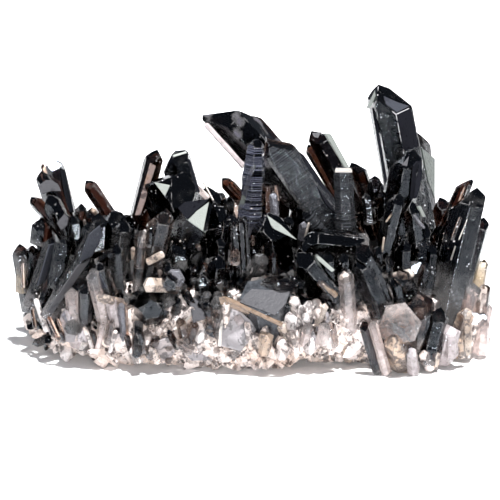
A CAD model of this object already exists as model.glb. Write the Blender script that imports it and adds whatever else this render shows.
"""Dresses the smoky quartz cluster: dark prisms and points on a pale, crumbly root mass.

The tables are in millimetres, with +Z up and the front towards -Y. They share one layout frame,
which footprint_shift moves onto the origin of the CAD frame.
"""

import logging
import math
import random
from dataclasses import dataclass, field, replace
from enum import Enum
from functools import cache

import bmesh
import bpy
from mathutils import Matrix, Vector, noise


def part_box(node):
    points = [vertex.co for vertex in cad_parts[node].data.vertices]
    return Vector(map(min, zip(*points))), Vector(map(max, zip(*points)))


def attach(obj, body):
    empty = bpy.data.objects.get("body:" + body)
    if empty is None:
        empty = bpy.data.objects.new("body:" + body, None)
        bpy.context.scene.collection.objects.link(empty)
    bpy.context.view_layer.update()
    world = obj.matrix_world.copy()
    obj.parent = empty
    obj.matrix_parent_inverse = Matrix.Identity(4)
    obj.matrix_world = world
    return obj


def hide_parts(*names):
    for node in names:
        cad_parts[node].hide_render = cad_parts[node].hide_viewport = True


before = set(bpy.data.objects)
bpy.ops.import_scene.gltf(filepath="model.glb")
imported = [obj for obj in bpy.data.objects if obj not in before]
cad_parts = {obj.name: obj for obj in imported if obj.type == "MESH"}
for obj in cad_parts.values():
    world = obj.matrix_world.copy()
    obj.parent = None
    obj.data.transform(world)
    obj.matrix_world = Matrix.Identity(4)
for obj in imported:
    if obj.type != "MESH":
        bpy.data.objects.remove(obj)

Triple = tuple[float, float, float]
Plane = tuple[Vector, Vector]

LOG = logging.getLogger("quartz")
MM = 0.001
FRONT = Vector((0.0, -1.0, 0.0))
UP = Vector((0.0, 0.0, 1.0))

# The angle between a prism face and the rhombohedral face above it, as quartz has it.
POINT_ANGLE = math.radians(38.2)
# Uneven growth of the six prism faces, as shares of half the width.
FACE_GROWTH = (1.0, 0.93, 1.06, 0.97, 1.03, 0.91)
# How strongly quartz bends light.
QUARTZ_IOR = 1.544


class Slot(Enum):
    """The record's material slots."""

    PALE = "pale_quartz"
    BROWN = "brown_quartz"
    DARK = "dark_quartz"


@dataclass(frozen=True)
class Growth:
    """How a crystal's prism faces grew, in millimetres.

    spacing is the mean distance between growth lines, step how far each stands in or out, and
    edge the width of the worn edges.
    """

    spacing: float = 1.5
    step: float = 0.035
    edge: float = 0.14


@dataclass(frozen=True)
class Crystal:
    """One quartz prism with a six-faced point. Lengths are in millimetres.

    turn is the angle of its first prism face from facing the front, in degrees. foot is its width
    at the root, where it tapers. shift moves the apex off the axis, to the right and to the front,
    as shares of the width. points sets how far out each point face stands, as shares of the width,
    and cut how much of the point is broken off flat. flat squeezes it from front to back. facets
    are extra faces: the direction that each looks in, and how far out it stands from the apex.
    """

    tip: Triple
    root: Triple
    width: float
    turn: float = 0.0
    foot: float = 0.0
    shift: tuple[float, float] = (0.0, 0.0)
    points: tuple[float, ...] = (0.0, 0.1, 0.0, 0.1, 0.0, 0.1)
    cut: float = 0.0
    flat: float = 1.0
    facets: tuple[tuple[Triple, float], ...] = ()

    def axes(self) -> tuple[Vector, Vector, Vector]:
        """The crystal's own axes.

        Returns:
            Unit vectors along it, towards the front, and to the side.
        """
        axis = (Vector(self.tip) - Vector(self.root)).normalized()
        toward = FRONT - axis * FRONT.dot(axis)
        if toward.length < 0.5:
            toward = UP - axis * UP.dot(axis)
        toward.normalize()
        return axis, toward, axis.cross(toward)

    def length(self) -> float:
        """Distance from root to tip."""
        return (Vector(self.tip) - Vector(self.root)).length

    def planes(self) -> list[Plane]:
        """Every face of the crystal.

        Returns:
            A point and the outward normal of each face, in millimetres.
        """
        axis, toward, side = self.axes()
        tip, root = Vector(self.tip), Vector(self.root)
        foot = self.foot or self.width
        apex = tip + self.width * (side * self.shift[0] + toward * self.shift[1])
        planes = [(root, -axis)]
        for k, growth in enumerate(FACE_GROWTH):
            angle = math.radians(self.turn + 60.0 * k)
            outward = toward * math.cos(angle) + side * math.sin(angle)
            squeeze = 1.0 - (1.0 - self.flat) * abs(outward.dot(toward))
            top = tip + outward * (self.width / 2 * growth * squeeze)
            bottom = root + outward * (foot / 2 * growth * squeeze)
            along = (top - bottom).normalized()
            face_normal = (outward - along * outward.dot(along)).normalized()
            planes.append((top, face_normal))
            point_normal = outward * math.cos(POINT_ANGLE) + axis * math.sin(POINT_ANGLE)
            planes.append((apex + point_normal * (self.width * self.points[k]), point_normal))
        if self.cut:
            planes.append((apex - axis * (self.cut * self.width), axis))
        for direction, out in self.facets:
            normal = Vector(direction).normalized()
            planes.append((apex + normal * (out * self.width), normal))
        return planes

    def worn(self, breaks: int, rng: random.Random) -> "Crystal":
        """The crystal with an uneven point that has chipped off.

        Args:
            breaks: How many breaks its point has.
            rng: The source of its shape.

        Returns:
            The worn crystal.
        """
        axis, toward, side = self.axes()
        facets = list(self.facets)
        for _ in range(breaks):
            heading = rng.uniform(0, 2 * math.pi)
            lean = toward * math.cos(heading) + side * math.sin(heading)
            direction = axis + lean * rng.uniform(0.3, 1.3)
            facets.append((tuple(direction), rng.uniform(-0.2, 0.0)))
        points = tuple(max(0.0, point + rng.uniform(-0.1, 0.14)) for point in self.points)
        return replace(self, points=points, facets=tuple(facets))

    def solid(self, growth: Growth, rng: random.Random) -> bmesh.types.BMesh:
        """Cuts the crystal out of a block, wears its edges and adds its growth lines.

        Args:
            growth: The spacing and height of the growth lines and the width of the edges.
            rng: The source of the growth lines' places.

        Returns:
            The closed shape, in metres.
        """
        middle = (Vector(self.tip) + Vector(self.root)) / 2 * MM
        bm = block((self.length() + 3 * self.width) * 2 * MM, middle)
        for point, normal in self.planes():
            cut_off(bm, point * MM, normal)
        bmesh.ops.remove_doubles(bm, verts=bm.verts, dist=2e-5)
        edge = min(growth.edge, self.width * 0.05) * MM
        worn = bm.faces.layers.float.new("worn")
        sharp = [e for e in bm.edges if len(e.link_faces) == 2 and e.calc_face_angle(0.0) > 0.2]
        if sharp and edge > 2e-5:
            made = bmesh.ops.bevel(
                bm, geom=sharp, offset=edge, segments=1, affect="EDGES", clamp_overlap=True
            )
            for face in made["faces"]:
                face[worn] = 1.0
        self.add_growth_lines(bm, growth, rng)
        bmesh.ops.recalc_face_normals(bm, faces=bm.faces)
        return bm

    def add_growth_lines(
        self, bm: bmesh.types.BMesh, growth: Growth, rng: random.Random
    ) -> None:
        """Rings the prism with fine steps square to its length, as quartz grows.

        Args:
            bm: The crystal, in metres.
            growth: The spacing and height of the steps.
            rng: The source of their places.
        """
        axis, toward, side = self.axes()
        root = Vector(self.root)
        end = self.length() - 0.74 * self.width
        place = rng.uniform(0.3, 1.0) * growth.spacing
        while growth.step and place < end:
            centre = (root + axis * place) * MM
            made = bmesh.ops.bisect_plane(
                bm,
                geom=bm.verts[:] + bm.edges[:] + bm.faces[:],
                dist=1e-7,
                plane_co=centre,
                plane_no=axis,
            )
            even = rng.uniform(-growth.step, growth.step) * MM
            tilted = rng.uniform(-growth.step, growth.step) * MM
            heading = rng.uniform(0, 2 * math.pi)
            lean = toward * math.cos(heading) + side * math.sin(heading)
            for vert in made["geom_cut"]:
                if isinstance(vert, bmesh.types.BMVert):
                    outward = vert.co - centre
                    outward -= axis * outward.dot(axis)
                    if outward.length > 1e-6:
                        outward.normalize()
                        vert.co += outward * (even + tilted * outward.dot(lean))
            place += rng.uniform(0.25, 1.75) * growth.spacing


def block(size: float, middle: Vector) -> bmesh.types.BMesh:
    """A cube to cut a shape from.

    Args:
        size: Its edge, in metres.
        middle: Its centre.

    Returns:
        The cube.
    """
    bm = bmesh.new()
    place = Matrix.Translation(middle) @ Matrix.Scale(size, 4)
    bmesh.ops.create_cube(bm, size=1.0, matrix=place)
    return bm


def cut_off(bm: bmesh.types.BMesh, point: Vector, normal: Vector) -> None:
    """Cuts away what lies outside a plane and closes the cut.

    Args:
        bm: The closed shape to cut.
        point: A point on the plane.
        normal: The plane's outward normal.
    """
    everything = bm.verts[:] + bm.edges[:] + bm.faces[:]
    made = bmesh.ops.bisect_plane(
        bm, geom=everything, dist=1e-8, plane_co=point, plane_no=normal, clear_outer=True
    )
    rim = [e for e in made["geom_cut"] if isinstance(e, bmesh.types.BMEdge)]
    if len(rim) >= 3:
        bmesh.ops.edgeloop_fill(bm, edges=rim)


@dataclass
class Shell:
    """Corners and faces gathered for one piece, with how each place grew.

    along runs from 0 at a crystal's root to 1 at its tip, reach is the same in millimetres, dusty
    is how much fine dust clings to a place, prism
    is 1 on prism faces, worn is 1 on worn edges, and tone is one random number for each crystal.
    """

    shift: Vector
    points: list[Vector] = field(default_factory=list)
    faces: list[tuple[int, ...]] = field(default_factory=list)
    along: list[float] = field(default_factory=list)
    reach: list[float] = field(default_factory=list)
    dusty: list[float] = field(default_factory=list)
    tone: list[float] = field(default_factory=list)
    prism: list[float] = field(default_factory=list)
    worn: list[float] = field(default_factory=list)

    def add(self, crystal: Crystal, growth: Growth, rng: random.Random) -> None:
        """Adds one crystal to the piece.

        Args:
            crystal: The crystal.
            growth: How its faces grew.
            rng: The source of its growth lines and tone.
        """
        bm = crystal.solid(growth, rng)
        axis, root, length = crystal.axes()[0], Vector(crystal.root), crystal.length()
        first, tone = len(self.points), rng.random()
        for index, vert in enumerate(bm.verts):
            vert.index = index
            reach = (vert.co / MM - root).dot(axis)
            self.points.append(vert.co + self.shift)
            self.reach.append(reach)
            self.along.append(min(1.0, max(0.0, reach / length)))
            cloud = noise.noise(vert.co * 90.0 + Vector((0.0, 0.0, 3.0 * tone)))
            self.dusty.append(max(0.0, 0.62 - self.along[-1] + 1.2 * cloud - 0.4))
            self.tone.append(tone)
        layer = bm.faces.layers.float.get("worn")
        for face in bm.faces:
            self.faces.append(tuple(first + vert.index for vert in face.verts))
            self.prism.append(1.0 if abs(face.normal.dot(axis)) < 0.25 else 0.0)
            self.worn.append(face[layer] if layer else 0.0)
        bm.free()

    def piece(self, name: str, material: bpy.types.Material) -> bpy.types.Object:
        """Makes the gathered crystals one object.

        Args:
            name: The object's name.
            material: Its finish.

        Returns:
            The object, in the scene, at the origin.
        """
        mesh = bpy.data.meshes.new(name)
        mesh.from_pydata([tuple(p) for p in self.points], [], self.faces)
        layers = (
            ("along", "POINT", self.along),
            ("reach", "POINT", self.reach),
            ("dusty", "POINT", self.dusty),
            ("tone", "POINT", self.tone),
            ("prism", "FACE", self.prism),
            ("worn", "FACE", self.worn),
        )
        for title, domain, values in layers:
            mesh.attributes.new(title, "FLOAT", domain).data.foreach_set("value", values)
        mesh.materials.append(material)
        return placed(name, mesh)


def placed(name: str, mesh: bpy.types.Mesh) -> bpy.types.Object:
    """A new object with this mesh, in the scene.

    Args:
        name: The object's name.
        mesh: Its mesh.

    Returns:
        The object.
    """
    obj = bpy.data.objects.new(name, mesh)
    bpy.context.scene.collection.objects.link(obj)
    return obj


def keep(obj: bpy.types.Object, slot: Slot, *nodes: str) -> bpy.types.Object:
    """Hands a finished piece to the frame.

    Args:
        obj: The piece, in place.
        slot: The record's slot that it takes its finish from.
        nodes: The CAD nodes that it stands for.

    Returns:
        The same piece.
    """
    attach(obj, "root")
    if nodes:
        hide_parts(*nodes)
    return obj


def footprint_shift(crystal: Crystal, node: str) -> Vector:
    """How far the CAD frame lies from the tables' layout frame.

    Args:
        crystal: The crystal that the node was made from.
        node: The CAD node's name.

    Returns:
        The shift to add to a place in the layout frame, in metres.
    """
    bm = crystal.solid(Growth(step=0.0, edge=0.0), random.Random(0))
    low = Vector([min(vert.co[axis] for vert in bm.verts) for axis in range(3)])
    bm.free()
    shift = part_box(node)[0] - low
    return Vector((shift.x, shift.y, 0.0))


class NodeSheet:
    """A node tree with short ways to add, set and link its nodes."""

    def __init__(self, tree: bpy.types.NodeTree) -> None:
        """Starts an empty tree."""
        self.tree = tree
        tree.nodes.clear()

    def add(self, kind: str, inputs: dict | None = None, **settings: object) -> bpy.types.Node:
        """Adds a node.

        Args:
            kind: The node's type name.
            inputs: Values, or sockets to link, by the input's name or number.
            settings: Other settings of the node.

        Returns:
            The new node.
        """
        node = self.tree.nodes.new(kind)
        for title, value in settings.items():
            setattr(node, title, value)
        for key, value in (inputs or {}).items():
            if isinstance(value, bpy.types.NodeSocket):
                self.tree.links.new(value, node.inputs[key])
            else:
                node.inputs[key].default_value = value
        return node

    def math(self, operation: str, *values: object, clamp: bool = False) -> bpy.types.NodeSocket:
        """Adds a Math node.

        Args:
            operation: What it computes.
            values: Its inputs, numbers or sockets.
            clamp: Whether its result stays between 0 and 1.

        Returns:
            Its output.
        """
        inputs = dict(enumerate(values))
        node = self.add("ShaderNodeMath", inputs, operation=operation, use_clamp=clamp)
        return node.outputs[0]

    def ramp(self, value: object, low: float, high: float) -> bpy.types.NodeSocket:
        """Turns a value into 0 below low and 1 above high, smoothly between.

        Args:
            value: The socket to read.
            low: Where 0 ends.
            high: Where 1 begins.

        Returns:
            The output.
        """
        inputs = {"Value": value, "From Min": low, "From Max": high}
        node = self.add("ShaderNodeMapRange", inputs, interpolation_type="SMOOTHSTEP")
        return node.outputs[0]

    def blend(self, share: object, first: object, second: object) -> bpy.types.NodeSocket:
        """Mixes two colours.

        Args:
            share: How much of the second, from 0 to 1.
            first: A colour or a socket.
            second: A colour or a socket.

        Returns:
            The mixed colour.
        """
        node = self.add("ShaderNodeMix", {0: share, 6: first, 7: second}, data_type="RGBA")
        return node.outputs[2]

    def clouds(self, where: object, scale: float, detail: float = 3.0) -> bpy.types.NodeSocket:
        """Adds soft noise.

        Args:
            where: The coordinates.
            scale: Its scale, in clouds a metre.
            detail: How fine it goes.

        Returns:
            The noise, from 0 to 1.
        """
        inputs = {"Vector": where, "Scale": scale, "Detail": detail}
        return self.add("ShaderNodeTexNoise", inputs).outputs[0]


def rgba(colour: Triple) -> tuple[float, float, float, float]:
    """A colour with full cover."""
    return (*colour, 1.0)


@dataclass(frozen=True)
class SmokyFinish:
    """See-through quartz that is coloured by plain absorption inside it.

    inside and density are the absorption's colour and its strength a metre. milk is how cloudy the
    root is, and milk_from and milk_to are where the cloud fades out along the crystal. veil is how
    strong the cloudy veils further up are, specks how white the small pits, edges how pale the
    worn edges, lines how deep the growth lines, grain how rough the skin and stripes how milky the
    growth lines. gloss is how strongly it mirrors, 0.5 being plain quartz.
    """

    name: str
    slot: Slot
    inside: Triple
    density: float
    surface: Triple = (0.92, 0.90, 0.90)
    sheen: Triple = (0.80, 0.88, 1.0)
    milk_colour: Triple = (0.62, 0.55, 0.52)
    milk: float = 0.75
    milk_from: float = 0.06
    milk_to: float = 0.38
    veil: float = 0.03
    roughness: float = 0.05
    specks: float = 0.4
    edges: float = 0.16
    lines: float = 0.10
    grain: float = 0.10
    stripes: float = 0.0
    gloss: float = 0.5

    @cache
    def material(self) -> bpy.types.Material:
        """Builds the finish.

        Returns:
            The material, made once and used again after that.
        """
        made = bpy.data.materials.new(self.name)
        made.use_nodes = True
        sheet = NodeSheet(made.node_tree)
        where = sheet.add("ShaderNodeTexCoord").outputs["Object"]
        clouds = sheet.clouds(where, 260.0)
        solid, milky = self.cloudiness(sheet, where, clouds)
        colour = sheet.blend(milky, rgba(self.surface), rgba(self.milk_colour))
        pits = sheet.add("ShaderNodeTexVoronoi", {"Vector": where, "Scale": 900.0})
        size = sheet.math("MULTIPLY", pits.outputs["Color"], 0.22)
        pit = sheet.ramp(sheet.math("SUBTRACT", size, pits.outputs["Distance"]), -0.04, 0.02)
        few = 0.62 - 0.16 * self.specks
        patches = sheet.ramp(sheet.clouds(where, 150.0), few, few + 0.08)
        strength = min(1.0, 2.5 * self.specks)
        speck = sheet.math("MULTIPLY", sheet.math("MULTIPLY", pit, patches), strength)
        worn = sheet.add("ShaderNodeAttribute", attribute_name="worn").outputs["Fac"]
        chipped = sheet.ramp(sheet.clouds(where, 420.0), 0.48, 0.60)
        chipped = sheet.math("MULTIPLY", sheet.math("MULTIPLY", worn, chipped), self.edges)
        speck = sheet.math("MAXIMUM", speck, chipped)
        colour = sheet.blend(speck, colour, (0.86, 0.86, 0.92, 1.0))
        solid = sheet.math("MAXIMUM", solid, speck)
        clear = sheet.math("SUBTRACT", 1.0, solid, clamp=True)
        rough = sheet.math("MULTIPLY_ADD", clouds, 0.06, self.roughness - 0.03)
        rough = sheet.math("ADD", rough, sheet.math("MULTIPLY", solid, 0.2), clamp=True)
        shader = sheet.add(
            "ShaderNodeBsdfPrincipled",
            {
                "Base Color": colour,
                "Roughness": rough,
                "Transmission Weight": clear,
                "IOR": QUARTZ_IOR,
                "Specular IOR Level": self.gloss,
                "Specular Tint": rgba(self.sheen),
                "Normal": self.relief(sheet, where),
            },
        )
        absorb = sheet.add(
            "ShaderNodeVolumeAbsorption", {"Color": rgba(self.inside), "Density": self.density}
        )
        sheet.add(
            "ShaderNodeOutputMaterial",
            {"Surface": shader.outputs[0], "Volume": absorb.outputs[0]},
        )
        return made

    def cloudiness(
        self, sheet: NodeSheet, where: bpy.types.NodeSocket, clouds: bpy.types.NodeSocket
    ) -> tuple[bpy.types.NodeSocket, bpy.types.NodeSocket]:
        """The milky root and the thin veils above it.

        Args:
            sheet: The material's nodes.
            where: The coordinates.
            clouds: Soft noise at those coordinates.

        Returns:
            How solid the surface looks, and how much of that is milk or veil.
        """
        along = sheet.add("ShaderNodeAttribute", attribute_name="along").outputs["Fac"]
        height = sheet.math("MULTIPLY_ADD", clouds, 0.5, along)
        height = sheet.math("ADD", height, -0.25)
        root = sheet.math("SUBTRACT", 1.0, sheet.ramp(height, self.milk_from, self.milk_to))
        curds = sheet.ramp(sheet.clouds(where, 620.0, 4.0), 0.36, 0.60)
        curds = sheet.math("MULTIPLY_ADD", curds, 0.35, 0.65)
        veils = sheet.ramp(sheet.clouds(where, 170.0, 5.0), 0.54, 0.74)
        veils = sheet.math("MULTIPLY", veils, self.veil)
        milk = sheet.math("MULTIPLY", sheet.math("MULTIPLY", root, curds), self.milk)
        solid = sheet.math("MAXIMUM", milk, veils)
        if self.stripes:
            upper = sheet.math("MULTIPLY", sheet.ramp(along, 0.1, 0.6), self.stripes)
            stripes = sheet.math("MULTIPLY", self.growth_lines(sheet), upper)
            solid = sheet.math("MAXIMUM", solid, stripes)
        return solid, sheet.ramp(solid, 0.0, 0.25)

    def growth_lines(self, sheet: NodeSheet) -> bpy.types.NodeSocket:
        """Thin milky growth lines across the prism faces.

        Args:
            sheet: The material's nodes.

        Returns:
            How milky each place is, from 0 to 1.
        """
        reach = sheet.add("ShaderNodeAttribute", attribute_name="reach").outputs["Fac"]
        prism = sheet.add("ShaderNodeAttribute", attribute_name="prism").outputs["Fac"]
        place = sheet.math("MULTIPLY", reach, 0.8)
        line = sheet.add("ShaderNodeTexNoise", {"W": place, "Detail": 2.0}, noise_dimensions="1D")
        return sheet.math("MULTIPLY", sheet.ramp(line.outputs[0], 0.50, 0.60), prism)

    def relief(self, sheet: NodeSheet, where: bpy.types.NodeSocket) -> bpy.types.NodeSocket:
        """The fine growth lines across the prism faces and the grain of the skin.

        Args:
            sheet: The material's nodes.
            where: The coordinates.

        Returns:
            The bent normal.
        """
        reach = sheet.add("ShaderNodeAttribute", attribute_name="reach").outputs["Fac"]
        prism = sheet.add("ShaderNodeAttribute", attribute_name="prism").outputs["Fac"]
        place = sheet.math("MULTIPLY", reach, 2.4)
        line = sheet.add("ShaderNodeTexNoise", {"W": place, "Detail": 3.0}, noise_dimensions="1D")
        ridges = sheet.math("MULTIPLY", sheet.math("MULTIPLY", line.outputs[0], prism), self.lines)
        skin = sheet.math("MULTIPLY", sheet.clouds(where, 1500.0, 2.0), self.grain)
        broad = sheet.math("MULTIPLY_ADD", sheet.clouds(where, 420.0, 1.0), self.grain * 1.2, skin)
        height = sheet.math("ADD", ridges, broad)
        inputs = {"Height": height, "Strength": 1.0, "Distance": 0.0003}
        return sheet.add("ShaderNodeBump", inputs).outputs[0]


@dataclass(frozen=True)
class MilkyFinish:
    """Cloudy quartz of the root mass, from pinkish white through cream to grey and brown.

    clear is how see-through it is, stain how much iron brown it carries, grey how dark its smoky
    bits are, shade_from how few there are of them, facets how far its small broken faces tilt, and
    gloss how strongly it mirrors.
    """

    name: str
    slot: Slot
    light: Triple = (0.97, 0.87, 0.835)
    cream: Triple = (0.84, 0.69, 0.61)
    shade: Triple = (0.11, 0.09, 0.09)
    brown: Triple = (0.24, 0.14, 0.09)
    clear: float = 0.3
    stain: float = 0.4
    grey: float = 0.85
    shade_from: float = 1.04
    roughness: float = 0.28
    facets: float = 0.0
    gloss: float = 0.5

    @cache
    def material(self) -> bpy.types.Material:
        """Builds the finish.

        Returns:
            The material, made once and used again after that.
        """
        made = bpy.data.materials.new(self.name)
        made.use_nodes = True
        sheet = NodeSheet(made.node_tree)
        where = sheet.add("ShaderNodeTexCoord").outputs["Object"]
        tone = sheet.add("ShaderNodeAttribute", attribute_name="tone").outputs["Fac"]
        broad = sheet.clouds(where, 90.0)
        middling = sheet.clouds(where, 330.0)
        fine = sheet.clouds(where, 1500.0)
        cream = sheet.ramp(sheet.math("MULTIPLY_ADD", tone, 0.25, broad), 0.50, 0.80)
        colour = sheet.blend(cream, rgba(self.light), rgba(self.cream))
        large = sheet.add("ShaderNodeTexVoronoi", {"Vector": where, "Scale": 560.0})
        small = sheet.add("ShaderNodeTexVoronoi", {"Vector": where, "Scale": 1300.0})
        broken = sheet.blend(0.4, large.outputs["Color"], small.outputs["Color"])
        shaded = sheet.math("MULTIPLY_ADD", broken, 0.7, middling)
        shaded = sheet.math("MULTIPLY_ADD", tone, 0.2, shaded)
        smoke = sheet.ramp(shaded, self.shade_from, self.shade_from + 0.06)
        smoke = sheet.math("MULTIPLY", smoke, self.grey)
        colour = sheet.blend(smoke, colour, rgba(self.shade))
        iron = sheet.ramp(sheet.clouds(where, 170.0, 5.0), 0.60, 0.72)
        colour = sheet.blend(sheet.math("MULTIPLY", iron, self.stain), colour, rgba(self.brown))
        rough = sheet.math("MULTIPLY_ADD", fine, 0.3, self.roughness - 0.12, clamp=True)
        see = sheet.math("MULTIPLY", sheet.ramp(middling, 0.30, 0.62), self.clear)
        relief = sheet.math("MULTIPLY_ADD", middling, 0.8, fine)
        skin = {"Height": relief, "Strength": 0.5, "Distance": 0.0004}
        if self.facets:
            skin["Normal"] = self.broken_faces(sheet, broken)
        bump = sheet.add("ShaderNodeBump", skin)
        shader = sheet.add(
            "ShaderNodeBsdfPrincipled",
            {
                "Base Color": colour,
                "Roughness": rough,
                "Transmission Weight": see,
                "IOR": QUARTZ_IOR,
                "Specular IOR Level": self.gloss,
                "Normal": bump.outputs[0],
            },
        )
        sheet.add("ShaderNodeOutputMaterial", {"Surface": shader.outputs[0]})
        return made

    def broken_faces(
        self, sheet: NodeSheet, cells: bpy.types.NodeSocket
    ) -> bpy.types.NodeSocket:
        """Tilts each small cell of the surface its own way, as broken quartz is.

        Args:
            sheet: The material's nodes.
            cells: A random colour for each cell.

        Returns:
            The tilted normal.
        """
        own = sheet.add("ShaderNodeNewGeometry").outputs["Normal"]
        most = (2.0 * self.facets,) * 3
        least = (-self.facets,) * 3
        inputs = {0: cells, 1: most, 2: least}
        tilt = sheet.add("ShaderNodeVectorMath", inputs, operation="MULTIPLY_ADD")
        bent = sheet.add("ShaderNodeVectorMath", {0: own, 1: tilt.outputs[0]}, operation="ADD")
        return sheet.add(
            "ShaderNodeVectorMath", {0: bent.outputs[0]}, operation="NORMALIZE"
        ).outputs[0]


# The finishes of the cluster's quartz.
BLACK = SmokyFinish(
    "black_finish",
    Slot.DARK,
    (0.52, 0.40, 0.32),
    3200.0,
    milk=0.08,
    milk_to=0.1,
    veil=0.012,
    roughness=0.02,
    lines=0.06,
    grain=0.03,
    gloss=0.3,
)
DARK = SmokyFinish(
    "dark_finish",
    Slot.DARK,
    (0.52, 0.39, 0.30),
    2300.0,
    milk=0.15,
    milk_to=0.12,
    veil=0.015,
    roughness=0.02,
    lines=0.06,
    grain=0.04,
    gloss=0.32,
)
RIPPLED = SmokyFinish(
    "rippled_finish",
    Slot.DARK,
    (0.52, 0.40, 0.32),
    3200.0,
    milk_colour=(0.17, 0.18, 0.26),
    milk=0.1,
    veil=0.12,
    roughness=0.05,
    specks=0.6,
    lines=0.6,
    grain=0.3,
    stripes=0.9,
)
STRIATED = SmokyFinish(
    "striated_finish",
    Slot.DARK,
    (0.52, 0.40, 0.32),
    3200.0,
    milk_colour=(0.12, 0.128, 0.146),
    milk=0.02,
    veil=0.0,
    roughness=0.02,
    specks=0.12,
    lines=0.3,
    grain=0.02,
    stripes=0.6,
    gloss=0.2,
)
SPARKLING = SmokyFinish(
    "sparkling_finish",
    Slot.DARK,
    (0.50, 0.42, 0.38),
    2600.0,
    milk=0.1,
    milk_to=0.2,
    veil=0.01,
    roughness=0.06,
    specks=1.0,
    edges=0.5,
    lines=0.2,
    grain=0.3,
    gloss=0.35,
)
SOOT = SmokyFinish(
    "soot_finish", Slot.DARK, (0.5, 0.42, 0.36), 6000.0, milk=0.0, veil=0.0, specks=0.1, gloss=0.35
)
GREY = SmokyFinish(
    "grey_finish",
    Slot.DARK,
    (0.48, 0.44, 0.42),
    2100.0,
    milk_colour=(0.37, 0.345, 0.345),
    milk=0.34,
    milk_to=0.26,
    veil=0.015,
    roughness=0.04,
    specks=0.12,
    grain=0.04,
    stripes=0.08,
    gloss=0.4,
)
SMOKE = SmokyFinish("smoke_finish", Slot.DARK, (0.55, 0.46, 0.40), 700.0, milk=0.3, milk_to=0.3)
BROWN = SmokyFinish(
    "brown_finish", Slot.BROWN, (0.52, 0.36, 0.25), 2000.0, milk=0.12, milk_to=0.2, gloss=0.4
)
UMBER = SmokyFinish(
    "umber_finish",
    Slot.BROWN,
    (0.52, 0.36, 0.26),
    2000.0,
    milk_colour=(0.24, 0.205, 0.20),
    milk=0.14,
    milk_from=0.1,
    milk_to=0.5,
    veil=0.03,
    roughness=0.03,
    specks=0.7,
    grain=0.04,
    gloss=0.3,
)
AMBER = SmokyFinish("amber_finish", Slot.BROWN, (0.85, 0.48, 0.20), 700.0, milk=0.0)
CLEAR = SmokyFinish("clear_finish", Slot.BROWN, (0.60, 0.51, 0.45), 300.0, milk=0.4, milk_to=0.3)
OLIVE = SmokyFinish(
    "olive_finish",
    Slot.BROWN,
    (0.78, 0.68, 0.50),
    300.0,
    milk_colour=(0.62, 0.53, 0.42),
    milk=0.5,
    milk_to=0.9,
)
TAN = SmokyFinish(
    "tan_finish",
    Slot.BROWN,
    (0.70, 0.48, 0.30),
    500.0,
    milk_colour=(0.40, 0.29, 0.21),
    milk=0.6,
    milk_from=1.2,
    milk_to=1.6,
)
LAVENDER = SmokyFinish(
    "lavender_finish",
    Slot.DARK,
    (0.6, 0.58, 0.62),
    700.0,
    milk_colour=(0.29, 0.285, 0.315),
    milk=0.45,
    milk_from=1.2,
    milk_to=1.6,
    roughness=0.1,
)
PLATE = SmokyFinish(
    "plate_finish",
    Slot.DARK,
    (0.56, 0.52, 0.52),
    900.0,
    milk_colour=(0.075, 0.08, 0.09),
    milk=0.6,
    milk_from=1.2,
    milk_to=1.6,
    roughness=0.08,
)
SMUDGED = SmokyFinish(
    "smudged_finish",
    Slot.DARK,
    (0.52, 0.39, 0.32),
    2300.0,
    milk_colour=(0.36, 0.34, 0.42),
    milk=0.12,
    milk_to=0.12,
    veil=0.3,
    roughness=0.03,
    gloss=0.35,
)
MAUVE = SmokyFinish(
    "mauve_finish",
    Slot.PALE,
    (0.74, 0.69, 0.70),
    150.0,
    milk_colour=(0.70, 0.62, 0.62),
    milk=0.6,
    milk_from=0.9,
    milk_to=1.5,
    roughness=0.12,
)
PALE = SmokyFinish(
    "pale_finish",
    Slot.PALE,
    (0.74, 0.64, 0.60),
    150.0,
    milk_colour=(0.88, 0.77, 0.74),
    milk=0.6,
    milk_from=0.1,
    milk_to=1.2,
    roughness=0.1,
)
CREAM = MilkyFinish(
    "cream_finish",
    Slot.PALE,
    light=(0.62, 0.54, 0.48),
    cream=(0.50, 0.37, 0.28),
    clear=0.4,
    stain=0.7,
    grey=0.8,
    shade_from=0.98,
    facets=0.2,
)
WHITE = MilkyFinish(
    "white_finish",
    Slot.PALE,
    light=(0.86, 0.80, 0.79),
    clear=0.6,
    stain=0.2,
    grey=0.8,
    shade_from=0.98,
    facets=0.2,
)
EDGE = MilkyFinish(
    "edge_finish", Slot.PALE, light=(0.60, 0.56, 0.52), clear=0.2, stain=0.3, grey=0.5
)
GLINT = MilkyFinish(
    "glint_finish",
    Slot.PALE,
    light=(0.29, 0.31, 0.29),
    cream=(0.25, 0.27, 0.25),
    shade=(0.18, 0.19, 0.18),
    clear=0.0,
    stain=0.0,
    grey=0.3,
    gloss=0.1,
)
GREENISH = MilkyFinish(
    "greenish_finish",
    Slot.DARK,
    light=(0.13, 0.145, 0.135),
    cream=(0.10, 0.115, 0.105),
    shade=(0.06, 0.065, 0.06),
    clear=0.0,
    stain=0.0,
    grey=0.4,
)
HAZE = MilkyFinish(
    "haze_finish",
    Slot.DARK,
    light=(0.086, 0.085, 0.092),
    cream=(0.07, 0.069, 0.076),
    shade=(0.045, 0.045, 0.05),
    clear=0.0,
    stain=0.0,
    grey=0.6,
    gloss=0.05,
)
ROSY = MilkyFinish(
    "rosy_finish",
    Slot.BROWN,
    light=(0.17, 0.125, 0.115),
    cream=(0.10, 0.075, 0.07),
    shade=(0.03, 0.02, 0.02),
    clear=0.0,
    stain=0.5,
    shade_from=0.95,
    gloss=0.15,
)
PEARL = MilkyFinish(
    "pearl_finish",
    Slot.PALE,
    light=(0.30, 0.28, 0.295),
    cream=(0.56, 0.48, 0.45),
    shade=(0.10, 0.095, 0.10),
    clear=0.0,
    stain=0.15,
    grey=0.8,
    shade_from=0.96,
    gloss=0.3,
)
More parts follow.
